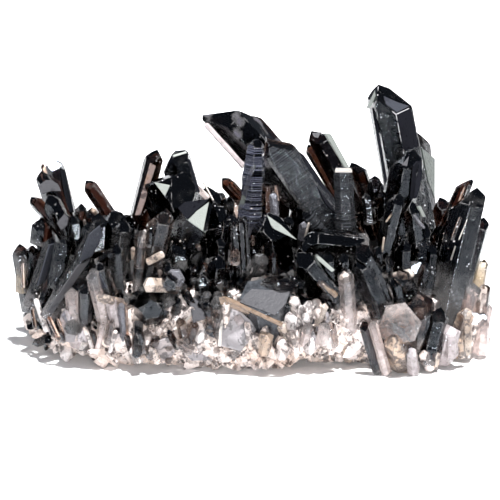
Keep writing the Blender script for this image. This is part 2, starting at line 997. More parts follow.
INK = MilkyFinish(
    "ink_finish",
    Slot.DARK,
    light=(0.012, 0.0125, 0.016),
    cream=(0.009, 0.0095, 0.012),
    shade=(0.005, 0.005, 0.007),
    clear=0.0,
    stain=0.0,
    gloss=0.0,
)
SLATE = MilkyFinish(
    "slate_finish",
    Slot.DARK,
    light=(0.046, 0.049, 0.060),
    cream=(0.036, 0.038, 0.048),
    shade=(0.02, 0.02, 0.026),
    clear=0.0,
    stain=0.0,
    grey=0.5,
    gloss=0.1,
)
MILKY = MilkyFinish("milky_finish", Slot.PALE, shade_from=1.07, facets=0.6)
SUGAR = MilkyFinish("sugar_finish", Slot.PALE, clear=0.4, stain=0.3, roughness=0.2, facets=0.5)
FROST = MilkyFinish(
    "frost_finish", Slot.PALE, light=(0.88, 0.88, 0.92), clear=0.3, stain=0.0, grey=0.0
)


@dataclass(frozen=True)
class CrystalGroup:
    """Dark crystals that stand together, each node in a socket of the root mass.

    nodes gives the crystals of each node, those of one node grown into each other. finishes and
    growths name the nodes that differ from the usual dark finish and growth.
    """

    name: str
    nodes: dict[str, tuple[Crystal, ...]]
    finishes: dict[str, SmokyFinish] = field(default_factory=dict)
    growths: dict[str, Growth] = field(default_factory=dict)
    usual: SmokyFinish = DARK
    seed: int = 5

    def build(self, shift: Vector) -> int:
        """Builds every node of the group.

        Args:
            shift: From the layout frame to the CAD frame, in metres.

        Returns:
            The number of pieces.
        """
        pieces = []
        for index, (node, crystals) in enumerate(self.nodes.items()):
            rng = random.Random(self.seed * 100 + index)
            growth = self.growths.get(node, Growth())
            finish = self.finishes.get(node, self.usual)
            shell = Shell(shift)
            for crystal in crystals:
                shell.add(crystal, growth, rng)
                for sliver in self.slivers(crystal, rng):
                    shell.add(sliver, Growth(step=0.0, edge=0.08), rng)
            piece = shell.piece(node + "_quartz", finish.material())
            pieces.append(keep(piece, finish.slot, node))
        dust = DUST.over(joined(pieces), DUST_CHIPS.collection(), FROST.material())
        dust.name = self.name.replace(" ", "_") + "_dust"
        keep(dust, FROST.slot)
        return len(self.nodes) + 1

    @staticmethod
    def slivers(crystal: Crystal, rng: random.Random) -> list[Crystal]:
        """Small crystals that grew along a large one, low on its sides.

        Args:
            crystal: The large crystal.
            rng: The source of their places.

        Returns:
            The small crystals, parallel to the large one.
        """
        if crystal.width < 4.0:
            return []
        axis, toward, side = crystal.axes()
        made = []
        for _ in range(rng.randint(1, 3)):
            angle = rng.uniform(0, 2 * math.pi)
            outward = toward * math.cos(angle) + side * math.sin(angle)
            low = rng.uniform(0.0, 0.25) * crystal.length()
            high = low + rng.uniform(0.18, 0.42) * crystal.length()
            wide = (crystal.foot or crystal.width) * 0.44
            foot = Vector(crystal.root) + axis * low + outward * wide * 0.8
            tip = Vector(crystal.root) + axis * high + outward * wide
            width = crystal.width * rng.uniform(0.16, 0.3)
            made.append(Crystal(tuple(tip), tuple(foot), width, crystal.turn))
        return made


@dataclass(frozen=True)
class Scatter:
    """Small quartz shapes strewn over a surface by Geometry Nodes.

    density is their number on a square metre where the weight is 1. Sizes are in millimetres, and
    lean is how far they lean off the surface, in radians, up to half a turn for loose grains.
    """

    name: str
    weight: str
    density: float
    smallest: float
    largest: float
    lean: float
    sunk: float
    seed: int

    def tree(self) -> bpy.types.NodeTree:
        """Builds the node tree that strews the shapes.

        Returns:
            The tree, with named inputs for its sizes.
        """
        tree = bpy.data.node_groups.new(self.name, "GeometryNodeTree")
        sheet = NodeSheet(tree)
        sockets = (
            ("Surface", "NodeSocketGeometry"),
            ("Density", "NodeSocketFloat"),
            ("Smallest", "NodeSocketFloat"),
            ("Largest", "NodeSocketFloat"),
            ("Lean", "NodeSocketFloat"),
            ("Sunk", "NodeSocketFloat"),
            ("Seed", "NodeSocketInt"),
            ("Shapes", "NodeSocketCollection"),
            ("Finish", "NodeSocketMaterial"),
        )
        for title, kind in sockets:
            tree.interface.new_socket(title, in_out="INPUT", socket_type=kind)
        tree.interface.new_socket("Pieces", in_out="OUTPUT", socket_type="NodeSocketGeometry")
        given = sheet.add("NodeGroupInput").outputs
        weight = sheet.add("GeometryNodeInputNamedAttribute", {"Name": self.weight})
        density = sheet.math("MULTIPLY", weight.outputs[0], given["Density"])
        spread = sheet.add(
            "GeometryNodeDistributePointsOnFaces",
            {"Mesh": given["Surface"], "Density": density, "Seed": given["Seed"]},
        )
        chance = sheet.add("FunctionNodeRandomValue", {"Seed": given["Seed"]}, data_type="FLOAT")
        few_large = sheet.math("POWER", chance.outputs[1], 2.2)
        size = sheet.add(
            "ShaderNodeMapRange",
            {"Value": few_large, "To Min": given["Smallest"], "To Max": given["Largest"]},
        ).outputs[0]
        size = sheet.math("MULTIPLY", size, MM)
        leaning = sheet.math("MULTIPLY", given["Lean"], -1.0)
        low = sheet.add("ShaderNodeCombineXYZ", {0: leaning, 1: leaning, 2: -math.pi})
        high = sheet.add("ShaderNodeCombineXYZ", {0: given["Lean"], 1: given["Lean"], 2: math.pi})
        wobble = sheet.add(
            "FunctionNodeRandomValue",
            {0: low.outputs[0], 1: high.outputs[0], "Seed": given["Seed"]},
            data_type="FLOAT_VECTOR",
        )
        turned = sheet.add(
            "FunctionNodeRotateRotation",
            {0: spread.outputs["Rotation"], 1: wobble.outputs[0]},
            rotation_space="LOCAL",
        )
        depth = sheet.math("MULTIPLY", sheet.math("MULTIPLY", size, given["Sunk"]), -1.0)
        inward = sheet.add(
            "ShaderNodeVectorMath",
            {0: spread.outputs["Normal"], "Scale": depth},
            operation="SCALE",
        )
        points = sheet.add(
            "GeometryNodeSetPosition",
            {"Geometry": spread.outputs["Points"], "Offset": inward.outputs[0]},
        )
        shapes = sheet.add(
            "GeometryNodeCollectionInfo",
            {"Collection": given["Shapes"], "Separate Children": True},
        )
        strewn = sheet.add(
            "GeometryNodeInstanceOnPoints",
            {
                "Points": points.outputs[0],
                "Instance": shapes.outputs[0],
                "Pick Instance": True,
                "Rotation": turned.outputs[0],
                "Scale": size,
            },
        )
        tone = sheet.add("FunctionNodeRandomValue", {"Seed": 77}, data_type="FLOAT")
        toned = sheet.add(
            "GeometryNodeStoreNamedAttribute",
            {"Geometry": strewn.outputs[0], "Name": "tone", "Value": tone.outputs[1]},
            data_type="FLOAT",
            domain="INSTANCE",
        )
        solid = sheet.add("GeometryNodeRealizeInstances", {"Geometry": toned.outputs[0]})
        dressed = sheet.add(
            "GeometryNodeSetMaterial",
            {"Geometry": solid.outputs[0], "Material": given["Finish"]},
        )
        sheet.add("NodeGroupOutput", {0: dressed.outputs[0]})
        return tree

    def over(
        self,
        surface: bpy.types.Mesh,
        shapes: bpy.types.Collection,
        material: bpy.types.Material,
    ) -> bpy.types.Object:
        """Strews the shapes and makes them one plain mesh.

        Args:
            surface: What they lie on, with the weight as an attribute.
            shapes: The few shapes to pick from, each about 1 unit across.
            material: Their finish.

        Returns:
            The finished piece.
        """
        emitter = placed(self.name + "_surface", surface.copy())
        modifier = emitter.modifiers.new("strew", "NODES")
        modifier.node_group = self.tree()
        values = {
            "Density": self.density,
            "Smallest": self.smallest,
            "Largest": self.largest,
            "Lean": self.lean,
            "Sunk": self.sunk,
            "Seed": self.seed,
            "Shapes": shapes,
            "Finish": material,
        }
        for item in modifier.node_group.interface.items_tree:
            if item.name in values and item.in_out == "INPUT":
                modifier[item.identifier] = values[item.name]
        graph = bpy.context.evaluated_depsgraph_get()
        mesh = bpy.data.meshes.new_from_object(emitter.evaluated_get(graph))
        bpy.data.objects.remove(emitter, do_unlink=True)
        rest_on_floor(mesh)
        mesh.materials.clear()
        mesh.materials.append(material)
        return placed(self.name, mesh)


def joined(pieces: list[bpy.types.Object]) -> bpy.types.Mesh:
    """One mesh of several pieces, with their attributes.

    Args:
        pieces: The pieces, at the origin.

    Returns:
        A new mesh.
    """
    bm = bmesh.new()
    for piece in pieces:
        bm.from_mesh(piece.data)
    mesh = bpy.data.meshes.new("joined")
    bm.to_mesh(mesh)
    bm.free()
    return mesh


def rest_on_floor(mesh: bpy.types.Mesh) -> None:
    """Lifts what reaches below the resting plane up to it.

    Args:
        mesh: The mesh, in metres.
    """
    for vert in mesh.vertices:
        vert.co.z = max(vert.co.z, 0.0)


@dataclass(frozen=True)
class ShapeBox:
    """The few small shapes that a Scatter picks from, each about 1 unit across."""

    name: str
    count: int
    seed: int
    slim: tuple[float, float] | None = None

    def collection(self) -> bpy.types.Collection:
        """Builds the shapes.

        Returns:
            A collection of them, outside the scene.
        """
        box = bpy.data.collections.new(self.name)
        rng = random.Random(self.seed)
        for index in range(self.count):
            bm = self.point(rng) if self.slim else self.chip(rng)
            mesh = bpy.data.meshes.new(f"{self.name}_{index}")
            bm.to_mesh(mesh)
            bm.free()
            box.objects.link(bpy.data.objects.new(mesh.name, mesh))
        return box

    @staticmethod
    def chip(rng: random.Random) -> bmesh.types.BMesh:
        """A broken chip of quartz with flat faces.

        Args:
            rng: The source of its faces.

        Returns:
            The chip.
        """
        bm = block(1.4, Vector((0.0, 0.0, 0.0)))
        for _ in range(9):
            normal = Vector([rng.gauss(0, 1) for _ in range(3)]).normalized()
            cut_off(bm, normal * rng.uniform(0.26, 0.5), normal)
        bmesh.ops.recalc_face_normals(bm, faces=bm.faces)
        return bm

    def point(self, rng: random.Random) -> bmesh.types.BMesh:
        """A small six-sided point that stands up from its middle.

        Args:
            rng: The source of its proportions.

        Returns:
            The point, 1 unit wide.
        """
        tall = rng.uniform(*self.slim)
        points = tuple(rng.uniform(0.0, 0.12) for _ in range(6))
        shape = Crystal((0, 0, tall * 1000), (0, 0, -0.5 * 1000), 1000.0, points=points)
        return shape.solid(Growth(step=0.0, edge=0.0), rng)


@dataclass(frozen=True)
class RootMass:
    """The pale, crumbly root mass: body, rim crystals, grains and druse. In millimetres.

    rings are from the resting face up: share of the outline, share of the height. arch is the
    hollow under the front edge. facets are the broken faces of the surface: the size of the cells
    and how far they stand out of it.
    """

    half_length: float = 70.0
    half_depth: float = 33.5
    height: float = 29.0
    fullness: float = 2.15
    sides: int = 560
    levels: int = 64
    rings: tuple[tuple[float, float], ...] = (
        (0.80, 0.0),
        (0.97, 0.16),
        (1.0, 0.38),
        (0.94, 0.62),
        (0.80, 0.84),
        (0.50, 0.97),
        (0.0, 1.0),
    )
    roughness: float = 0.07
    low_end_share: float = 0.66
    low_end: tuple[float, float] = (-66.0, -30.0)
    arch: tuple[float, float] = (14.0, 37.0)
    arch_rise: float = 6.0
    arch_share: float = 0.62
    facets: tuple[tuple[float, float], ...] = ((0.13, 1.5), (0.38, 0.55))
    block_seed: int = 11
    block_count: int = 64
    block_widths: tuple[float, float] = (4.5, 9.5)
    block_share: float = 0.75

    def outline_radius(self, angle: float) -> float:
        """How far the mass reaches at this angle seen from above.

        Args:
            angle: Round from +X, in radians.

        Returns:
            The reach, in millimetres.
        """
        across, deep = math.cos(angle), math.sin(angle)
        shares = abs(across / self.half_length) ** self.fullness
        shares += abs(deep / self.half_depth) ** self.fullness
        plain = shares ** (-1.0 / self.fullness)
        rough = noise.noise(Vector((3.1 * across, 3.1 * deep, 5.0)))
        return plain * (1.0 + self.roughness * rough)

    def ridge(self, x: float) -> float:
        """The height of the ridge at this x, in millimetres."""
        start, end = self.low_end
        rise = min(1.0, max(0.0, (x - start) / (end - start)))
        return self.height * (self.low_end_share + (1.0 - self.low_end_share) * rise)

    def arch_weight(self, x: float, y: float) -> float:
        """How fully a rim point lies over the hollow, from 0 to 1."""
        if y > 0:
            return 0.0
        inside = min(x - self.arch[0], self.arch[1] - x)
        return min(1.0, max(0.0, inside / 2.0 + 0.5))

    def profile(self, level: float) -> tuple[float, float]:
        """The ring at this place from the resting face, 0, to the ridge, the last ring.

        Args:
            level: The place, in rings.

        Returns:
            The share of the outline and the share of the height.
        """
        low = min(int(level), len(self.rings) - 2)
        part = level - low
        first, second = self.rings[low], self.rings[low + 1]
        return (
            first[0] + (second[0] - first[0]) * part,
            first[1] + (second[1] - first[1]) * part,
        )

    def surface_point(self, angle: float, level: float) -> Vector:
        """A point of the bare surface.

        Args:
            angle: Round from +X, in radians.
            level: The place between the rings.

        Returns:
            The point, in millimetres.
        """
        share, lift = self.profile(level)
        reach = self.outline_radius(angle) * share
        x, y = reach * math.cos(angle), reach * math.sin(angle)
        z = self.ridge(x) * lift
        settle = min(1.0, level)
        wobble = noise.noise_vector(Vector((x, y, z)) * 0.11) * settle
        x, y, z = x + 2.2 * wobble.x, y + 2.2 * wobble.y, z + 1.6 * wobble.z
        over = self.arch_weight(x, y)
        if over and level < 2.0:
            tuck = 1.0 - over * (1.0 - self.arch_share / 0.8) * (1.0 - settle)
            x, y = x * tuck, y * tuck
            vault = self.arch_rise * level if level < 1.0 else None
            if vault is None:
                top = self.ridge(x) * self.rings[2][1]
                vault = self.arch_rise + (top - self.arch_rise) * (level - 1.0)
            z += (vault - z) * over
        return Vector((x, y, z))

    def broken(self, point: Vector, outward: Vector, level: float) -> Vector:
        """Breaks the bare surface into tilted facets.

        Args:
            point: A point of the bare surface, in millimetres.
            outward: The way out of it.
            level: Its place between the rings.

        Returns:
            The moved point.
        """
        rise = 0.0
        for scale, height in self.facets:
            _, seeds = noise.voronoi(point * scale)
            seed = Vector(seeds[0])
            tilt = noise.noise_vector(seed * 5.3)
            away = (point * scale - seed).dot(tilt)
            rise += height * (noise.noise(seed * 3.7 + Vector((9.0, 2.0, 4.0))) + 1.3 * away)
        free = min(1.0, level / 0.6)
        return point + outward * rise * free

    def body(self, shift: Vector) -> bpy.types.Mesh:
        """The mass itself, with the weights that strew grains and druse over it.

        Args:
            shift: From the layout frame to the CAD frame, in metres.

        Returns:
            A closed mesh, in metres.
        """
        top_level = len(self.rings) - 1.02
        grid = []
        for row in range(self.levels + 1):
            level = top_level * row / self.levels
            grid.append(
                [
                    self.surface_point(2 * math.pi * step / self.sides, level)
                    for step in range(self.sides)
                ]
            )
        points, rim, crown = [], [], []
        for row, ring in enumerate(grid):
            level = top_level * row / self.levels
            for step, point in enumerate(ring):
                around = ring[(step + 1) % self.sides] - ring[step - 1]
                upward = grid[min(row + 1, self.levels)][step] - grid[max(row - 1, 0)][step]
                outward = around.cross(upward).normalized()
                moved = self.broken(point, outward, level)
                moved.z = max(0.0, moved.z)
                points.append(moved * MM + shift)
                pale = self.pale_weight(moved)
                rim.append(pale if level > 0.05 else 0.0)
                inner = min(1.0, max(0.0, (71.0 - abs(moved.x)) / 8.0))
                crown.append((1.0 - pale) * inner)
        faces = []
        for row in range(self.levels):
            for step in range(self.sides):
                after = (step + 1) % self.sides
                low, high = row * self.sides, (row + 1) * self.sides
                faces.append((low + step, low + after, high + after, high + step))
        faces.append(tuple(reversed(range(self.sides))))
        faces.append(tuple(range(self.levels * self.sides, (self.levels + 1) * self.sides)))
        mesh = bpy.data.meshes.new("root_mass")
        mesh.from_pydata([tuple(p) for p in points], [], faces)
        for title, values in (("rim", rim), ("crown", crown)):
            mesh.attributes.new(title, "FLOAT", "POINT").data.foreach_set("value", values)
        return mesh

    @staticmethod
    def pale_weight(point: Vector) -> float:
        """How far a place lies in the pale zone below the dark crystals, from 0 to 1."""
        edge = 12.5 if point.x < -40 else 20.0
        if point.x > 44:
            edge = 23.0
        edge += 3.0 * noise.noise(point * 0.12)
        inner = 1.0 - min(1.0, max(0.0, (abs(point.y) - 20.0) / 8.0))
        edge -= 6.0 * inner
        return min(1.0, max(0.0, (edge - point.z) / 5.0 + 0.5))

    def blocks(self) -> list[Crystal]:
        """Stubby crystals set round the sides, pointing out and up.

        Returns:
            The crystals.
        """
        rng = random.Random(self.block_seed)
        blocks = []
        for index in range(self.block_count):
            angle = 2 * math.pi * (index + rng.uniform(-0.35, 0.35)) / self.block_count
            width = rng.uniform(*self.block_widths)
            lift = rng.uniform(0.22, 0.72)
            share = 0.99 - 0.22 * max(0.0, lift - 0.4)
            reach = self.outline_radius(angle) * share
            x, y = reach * math.cos(angle), reach * math.sin(angle)
            foot = Vector((x * 0.9, y * 0.84, self.ridge(x) * lift))
            rise = rng.uniform(-0.1, 1.0)
            out = Vector((math.cos(angle) * 0.8, math.sin(angle), rise)).normalized()
            tip = foot + out * (width * self.block_share + 3.0)
            if tip.z < 3.0 or (y < 0 and self.arch[0] < x < self.arch[1]):
                continue
            root = foot - out * width * 0.4
            turn, flat = rng.uniform(0, 60), rng.uniform(0.7, 1.0)
            blocks.append(Crystal(tuple(tip), tuple(root), width, turn, flat=flat))
        return blocks

    def build(self, shift: Vector) -> int:
        """Builds the mass and all that is strewn over it.

        Args:
            shift: From the layout frame to the CAD frame, in metres.

        Returns:
            The number of pieces.
        """
        body = placed("root_mass", self.body(shift))
        body.data.materials.append(MILKY.material())
        keep(body, Slot.PALE, "quartz_base")
        rim = Shell(shift)
        rng = random.Random(3)
        for crystal in self.blocks():
            rim.add(crystal, Growth(spacing=1.2, step=0.06, edge=0.2), rng)
        rest_piece = rim.piece("rim_blocks", MILKY.material())
        rest_on_floor(rest_piece.data)
        keep(rest_piece, Slot.PALE)
        chips = ShapeBox("chips", 8, 21).collection()
        points = ShapeBox("points", 8, 8, slim=(1.4, 3.4)).collection()
        stubs = ShapeBox("stubs", 8, 13, slim=(0.7, 1.5)).collection()
        for scatter, shapes, finish in (
            (COARSE_GRAINS, chips, MILKY),
            (FINE_GRAINS, chips, SUGAR),
            (RIM_STUBS, stubs, WHITE),
            (SMOKY_STUBS, stubs, SMOKE),
            (THICKET, points, BLACK),
            (DRUSE, points, SOOT),
            (SPARKS, chips, FROST),
            (EMBERS, chips, AMBER),
        ):
            piece = scatter.over(body.data, shapes, finish.material())
            keep(piece, finish.slot)
            LOG.info("%s: %d faces", scatter.name, len(piece.data.polygons))
        return 10


@dataclass(frozen=True)
class LooseCrystals:
    """Crystals that are part of the root mass and share one finish.

    breaks is how many breaks the point of each has.
    """

    name: str
    finish: SmokyFinish | MilkyFinish
    crystals: tuple[Crystal, ...]
    growth: Growth = Growth(spacing=1.3, step=0.04, edge=0.05)
    breaks: int = 1
    seed: int = 2

    def build(self, shift: Vector) -> int:
        """Builds them as one piece.

        Args:
            shift: From the layout frame to the CAD frame, in metres.

        Returns:
            The number of crystals.
        """
        rng = random.Random(self.seed)
        shell = Shell(shift)
        for crystal in self.crystals:
            shell.add(crystal.worn(self.breaks, rng), self.growth, rng)
        piece = shell.piece(self.name, self.finish.material())
        rest_on_floor(piece.data)
        keep(piece, self.finish.slot)
        return len(self.crystals)


@dataclass(frozen=True)
class Panes:
    """Frosted faces on the crystals, each a thin plate set into the face behind it.

    outlines gives the corners of each plate, in millimetres, and thickness how thick they are.
    """

    name: str
    finish: MilkyFinish
    outlines: tuple[tuple[Triple, ...], ...]
    thickness: float = 0.5

    def build(self, shift: Vector) -> int:
        """Builds the plates as one piece.

        Args:
            shift: From the layout frame to the CAD frame, in metres.

        Returns:
            The number of plates.
        """
        points: list[Vector] = []
        faces: list[tuple[int, ...]] = []
        for outline in self.outlines:
            corners = [Vector(corner) for corner in outline]
            outward = (corners[1] - corners[0]).cross(corners[2] - corners[1]).normalized()
            if outward.dot(FRONT) < 0.0:
                corners.reverse()
                outward.negate()
            first, count = len(points), len(corners)
            points += [corner * MM + shift for corner in corners]
            points += [(corner - outward * self.thickness) * MM + shift for corner in corners]
            faces.append(tuple(range(first, first + count)))
            faces.append(tuple(reversed(range(first + count, first + 2 * count))))
            for step in range(count):
                near, after = first + step, first + (step + 1) % count
                faces.append((near, near + count, after + count, after))
        mesh = bpy.data.meshes.new(self.name)
        mesh.from_pydata([tuple(point) for point in points], [], faces)
        mesh.materials.append(self.finish.material())
        keep(placed(self.name, mesh), self.finish.slot)
        return len(self.outlines)


@dataclass(frozen=True)
class Studio:
    """The floor, the lights and the camera. In metres and watts.

    aim is what the camera looks at, from far away and at an angle above the horizon.
    """

    aim: Triple = (0.0, 0.0, 0.02985)
    away: float = 0.75
    elevation: float = 16.0
    lens: float = 171.3
    floor_colour: Triple = (0.92, 0.92, 0.92)
    sky_colour: Triple = (0.74, 0.82, 1.0)
    sky_strength: float = 0.16

    def build(self) -> None:
        """Sets up everything round the cluster."""
        self.floor()
        self.sky()
        self.lamp("key", (0.30, -0.80, 3.0), (0.05, 0.38, 0.0), 0.16, 9.5, 32.0)
        self.lamp("left", (-0.60, 0.22, 0.60), (0.0, 0.0, 0.0), 0.3, 0.9)
        self.lamp("window", (0.10, -1.10, 0.24), (0.0, 0.0, 0.012), 0.25, 0.6, 50.0)
        self.camera()
        bpy.context.scene.view_settings.view_transform = "Standard"
        bpy.context.scene.view_settings.look = "None"

    def floor(self) -> None:
        """A wide pale floor."""
        mesh = bpy.data.meshes.new("floor")
        half = 6.0
        corners = [(-half, -half, 0), (half, -half, 0), (half, half, 0), (-half, half, 0)]
        mesh.from_pydata(corners, [], [(0, 1, 2, 3)])
        material = bpy.data.materials.new("floor")
        material.use_nodes = True
        shader = material.node_tree.nodes["Principled BSDF"]
        shader.inputs["Base Color"].default_value = rgba(self.floor_colour)
        shader.inputs["Roughness"].default_value = 0.9
        shader.inputs["Specular IOR Level"].default_value = 0.1
        mesh.materials.append(material)
        placed("floor", mesh)

    def sky(self) -> None:
        """Even light from all round."""
        world = bpy.data.worlds.new("studio")
        world.use_nodes = True
        background = world.node_tree.nodes["Background"]
        background.inputs["Color"].default_value = rgba(self.sky_colour)
        background.inputs["Strength"].default_value = self.sky_strength
        bpy.context.scene.world = world

    @staticmethod
    def lamp(
        name: str, place: Triple, aim: Triple, size: float, power: float, spread: float = 180.0
    ) -> None:
        """A square soft light.

        Args:
            name: The light's name.
            place: Where it stands.
            aim: What it points at.
            size: Its edge.
            power: Its power.
            spread: How wide its beam opens, in degrees.
        """
        light = bpy.data.lights.new(name, "AREA")
        light.spread = math.radians(spread)
        light.shape = "SQUARE"
        light.size = size
        light.energy = power
        lamp = bpy.data.objects.new(name, light)
        lamp.location = place
        heading = Vector(aim) - Vector(place)
        lamp.rotation_euler = heading.to_track_quat("-Z", "Y").to_euler()
        bpy.context.scene.collection.objects.link(lamp)

    def camera(self) -> None:
        """The photograph's camera."""
        data = bpy.data.cameras.new("camera")
        data.lens = self.lens
        data.sensor_width = 36.0
        data.clip_start = 0.01
        camera = bpy.data.objects.new("camera", data)
        angle = math.radians(self.elevation)
        back = Vector((0.0, -math.cos(angle), math.sin(angle))) * self.away
        camera.location = Vector(self.aim) + back
        camera.rotation_euler = (math.pi / 2 - angle, 0.0, 0.0)
        bpy.context.scene.collection.objects.link(camera)
        bpy.context.scene.camera = camera


# Dark crystals, by node, each group as seen from the front.
LEFT_GROUP = CrystalGroup(
    "left group",
    {
        "left_twin_back": (Crystal((-62.6, 16, 55.9), (-53.5, 14, 19), 6.2, 20, cut=0.2),),
        "left_twin_front": (Crystal((-64.0, 8, 53.5), (-54.0, 6, 18), 6.4, 4, shift=(-0.2, -0.15)),),
        "left_shoots": (
            Crystal((-67.5, -4, 48.0), (-53.5, -7, 32.5), 3.8, 0),
            Crystal((-62.0, -5, 49.0), (-50.5, -8, 24), 5.6, 25),
            Crystal((-57.5, -12, 45.0), (-51.0, -9, 24), 4.4, 15),
        ),
        "left_brown_crystal": (Crystal((-64.5, -2.5, 41.5), (-60.0, -3.2, 14), 6.0, 30),),
        "left_low_crystal": (Crystal((-71.0, -8, 34.0), (-68.0, -8, 12), 5.2, 10),),
        "long_left_blade": (Crystal((-44.2, -22, 45.0), (-61.5, -25.5, 15), 4.4, -8, shift=(-0.2, 0)),),
        "short_left_blade": (Crystal((-60.0, -15, 38.0), (-67.8, -16.5, 16), 3.6, 12),),
        "left_shoulder_crystals": (
            Crystal((-52.0, -0.4, 45.0), (-53.8, -1.4, 14), 3.6, 15),
            Crystal((-48.5, -1.3, 44.0), (-50.0, -2, 14), 5.0, 0),
            Crystal((-41.9, -2.5, 44.0), (-44.5, -4, 14), 9.0, 14, shift=(0.1, -0.1), cut=0.14),
        ),
        "slim_brown_crystal": (Crystal((-51.5, 15, 48.5), (-35.0, 13, 23), 4.3, 20),),
        "left_tall_blade": (Crystal((-28.8, 8.6, 60.3), (-40.0, 4, 17), 5.6, -18, shift=(0.1, 0)),),
        "left_facing_crystals": (
            Crystal((-23.4, 14.6, 59.6), (-14.4, 12, 21), 9.0, 22, shift=(0.1, 0.0), cut=0.2),
            Crystal(
                (-25.4, -12, 54.4),
                (-18.0, 16, 27),
                15.4,
                4,
                points=(0.3, 0.0, 0.3, 0.06, 0.3, 0.0),
                facets=(((0.0, -0.88, 0.47), -0.11),),
            ),
        ),
        "middle_left_crystals": (
            Crystal(
                (-11.5, -19, 50.0),
                (-27.0, -8, 20),
                11.2,
                52,
                points=(0.06, 0.12, 0.03, 0.12, 0.06, 0.0),
            ),
            Crystal((-8.6, -13.5, 49.0), (-13.0, -10, 22), 8.0, 10, cut=0.15),
        ),
        "bluish_left_crystal": (Crystal((-38.0, -14, 43.5), (-41.5, -15, 17), 5.6, 20),),
        "left_front_point": (Crystal((-49.5, -30, 27.5), (-50.0, -27, 10), 4.2, 5),),
        "left_front_blade": (Crystal((-45.0, -30, 34.5), (-41.5, -28, 15), 3.8, 15),),
        "left_dark_point": (Crystal((-57.5, -20, 32), (-64.0, -20.5, 15), 3.4, 10),),
        "front_left_column": (Crystal((-39.8, -24, 38.5), (-38.8, -22, 15), 4.2, 12),),
        "front_left_black_point": (Crystal((-29.0, -38, 25.0), (-30.0, -28.5, 18), 8.4, 20),),
        "front_hex_point": (Crystal((-24.0, -36, 31.0), (-22.5, -26, 25), 5.8, 0),),
        "clear_smoky_crystal": (
            Crystal((-25.0, -25, 50.0), (-32.0, -22, 20), 7.0, 14, shift=(0.1, 0)),
            Crystal((-32.0, -28, 44.0), (-33.5, -24, 24), 3.0, 0),
        ),
    },
    finishes={
        "left_brown_crystal": BROWN,
        "slim_brown_crystal": BROWN,
        "left_low_crystal": BROWN,
        "clear_smoky_crystal": CLEAR,
        "left_facing_crystals": BLACK,
        "middle_left_crystals": BLACK,
        "long_left_blade": GREY,
        "short_left_blade": GREY,
        "left_front_blade": GREY,
        "left_front_point": GREY,
        "front_left_column": GREY,
        "bluish_left_crystal": GREY,
        "front_hex_point": GREY,
    },
    seed=1,
)
MIDDLE_GROUP = CrystalGroup(
    "middle group",
    {
        "middle_small_crystals": (
            Crystal((-9.5, -1, 49.0), (-12.5, -3, 22), 4.8, 10),
            Crystal((-5.6, -1, 47.5), (-8.8, -2.5, 22), 4.4, 25),
        ),
        "middle_brown_crystal": (Crystal((-8.0, 8, 51.0), (9.5, 7, 31), 3.8, 25),),
        "great_leaning_pair": (
            Crystal(
                (-10.6, 19, 72.4),
                (38.0, 17.5, 21.5),
                12.0,
                16,
                shift=(-0.42, 0.0),
                points=(0.0, 0.3, 0.0, 0.3, 0.0, 0.3),
                flat=0.8,
            ),
            Crystal((-0.6, 23, 67.2), (37.0, 20.5, 23), 6.8, 10, shift=(0.1, 0.0)),
        ),
        "rippled_crystal": (
            Crystal((2.9, -2, 66.7), (0.2, -2, 22), 4.4, 18, foot=9.0, cut=0.2),
        ),
        "central_striated_crystal": (
            Crystal(
                (7.2, -4, 66.3),
                (36.6, -7, 26),
                13.4,
                shift=(-0.08, 0.0),
                points=(0.3, 0.0, 0.1, 0.3, 0.1, 0.0),
                flat=0.3,
            ),
        ),
        "lying_crystal": (Crystal((17.0, -27, 41.0), (36.5, -24, 38), 6.4, 24),),
        "black_front_crystal": (Crystal((6.5, -18, 47.5), (11.0, -11, 18), 13.4, 24, shift=(0.0, 0.1)),),
        "front_dark_crystal": (Crystal((15.0, -30.5, 37.5), (28.5, -26, 20), 7.4, 20),),
        "front_plate_crystal": (
            Crystal(
                (5.0, -37, 27.5),
                (6.8, -28, 13),
                13.4,
                4,
                points=(0.5, 0.5, 0.5, 0.5, 0.5, 0.5),
                facets=(((-0.06, -0.6, 0.8), -0.2),),
            ),
        ),
        "centre_needles": (
            Crystal((-2.0, -27, 47.5), (-0.8, -25, 26), 2.6, 10),
            Crystal((-4.0, -27, 46.5), (-2.6, -25, 26), 2.4, 20),
        ),
        "middle_front_crystals": (
            Crystal((-8.5, -27, 36.0), (-10.0, -24, 21), 5.6, 20),
            Crystal((-13.5, -30, 30.5), (-13.0, -26, 20), 4.8, 5),
        ),
        "clear_front_crystal": (Crystal((15.2, -27.5, 29.5), (16.0, -24, 21), 5.0, 15),),
    },
    finishes={
        "middle_brown_crystal": BROWN,
        "clear_front_crystal": CLEAR,
        "black_front_crystal": BLACK,
        "front_plate_crystal": PLATE,
        "great_leaning_pair": SMUDGED,
        "rippled_crystal": RIPPLED,
        "central_striated_crystal": STRIATED,
    },
    growths={
        "rippled_crystal": Growth(0.5, 0.11, 0.14),
        "central_striated_crystal": Growth(0.7, 0.035, 0.16),
    },
    seed=2,
)
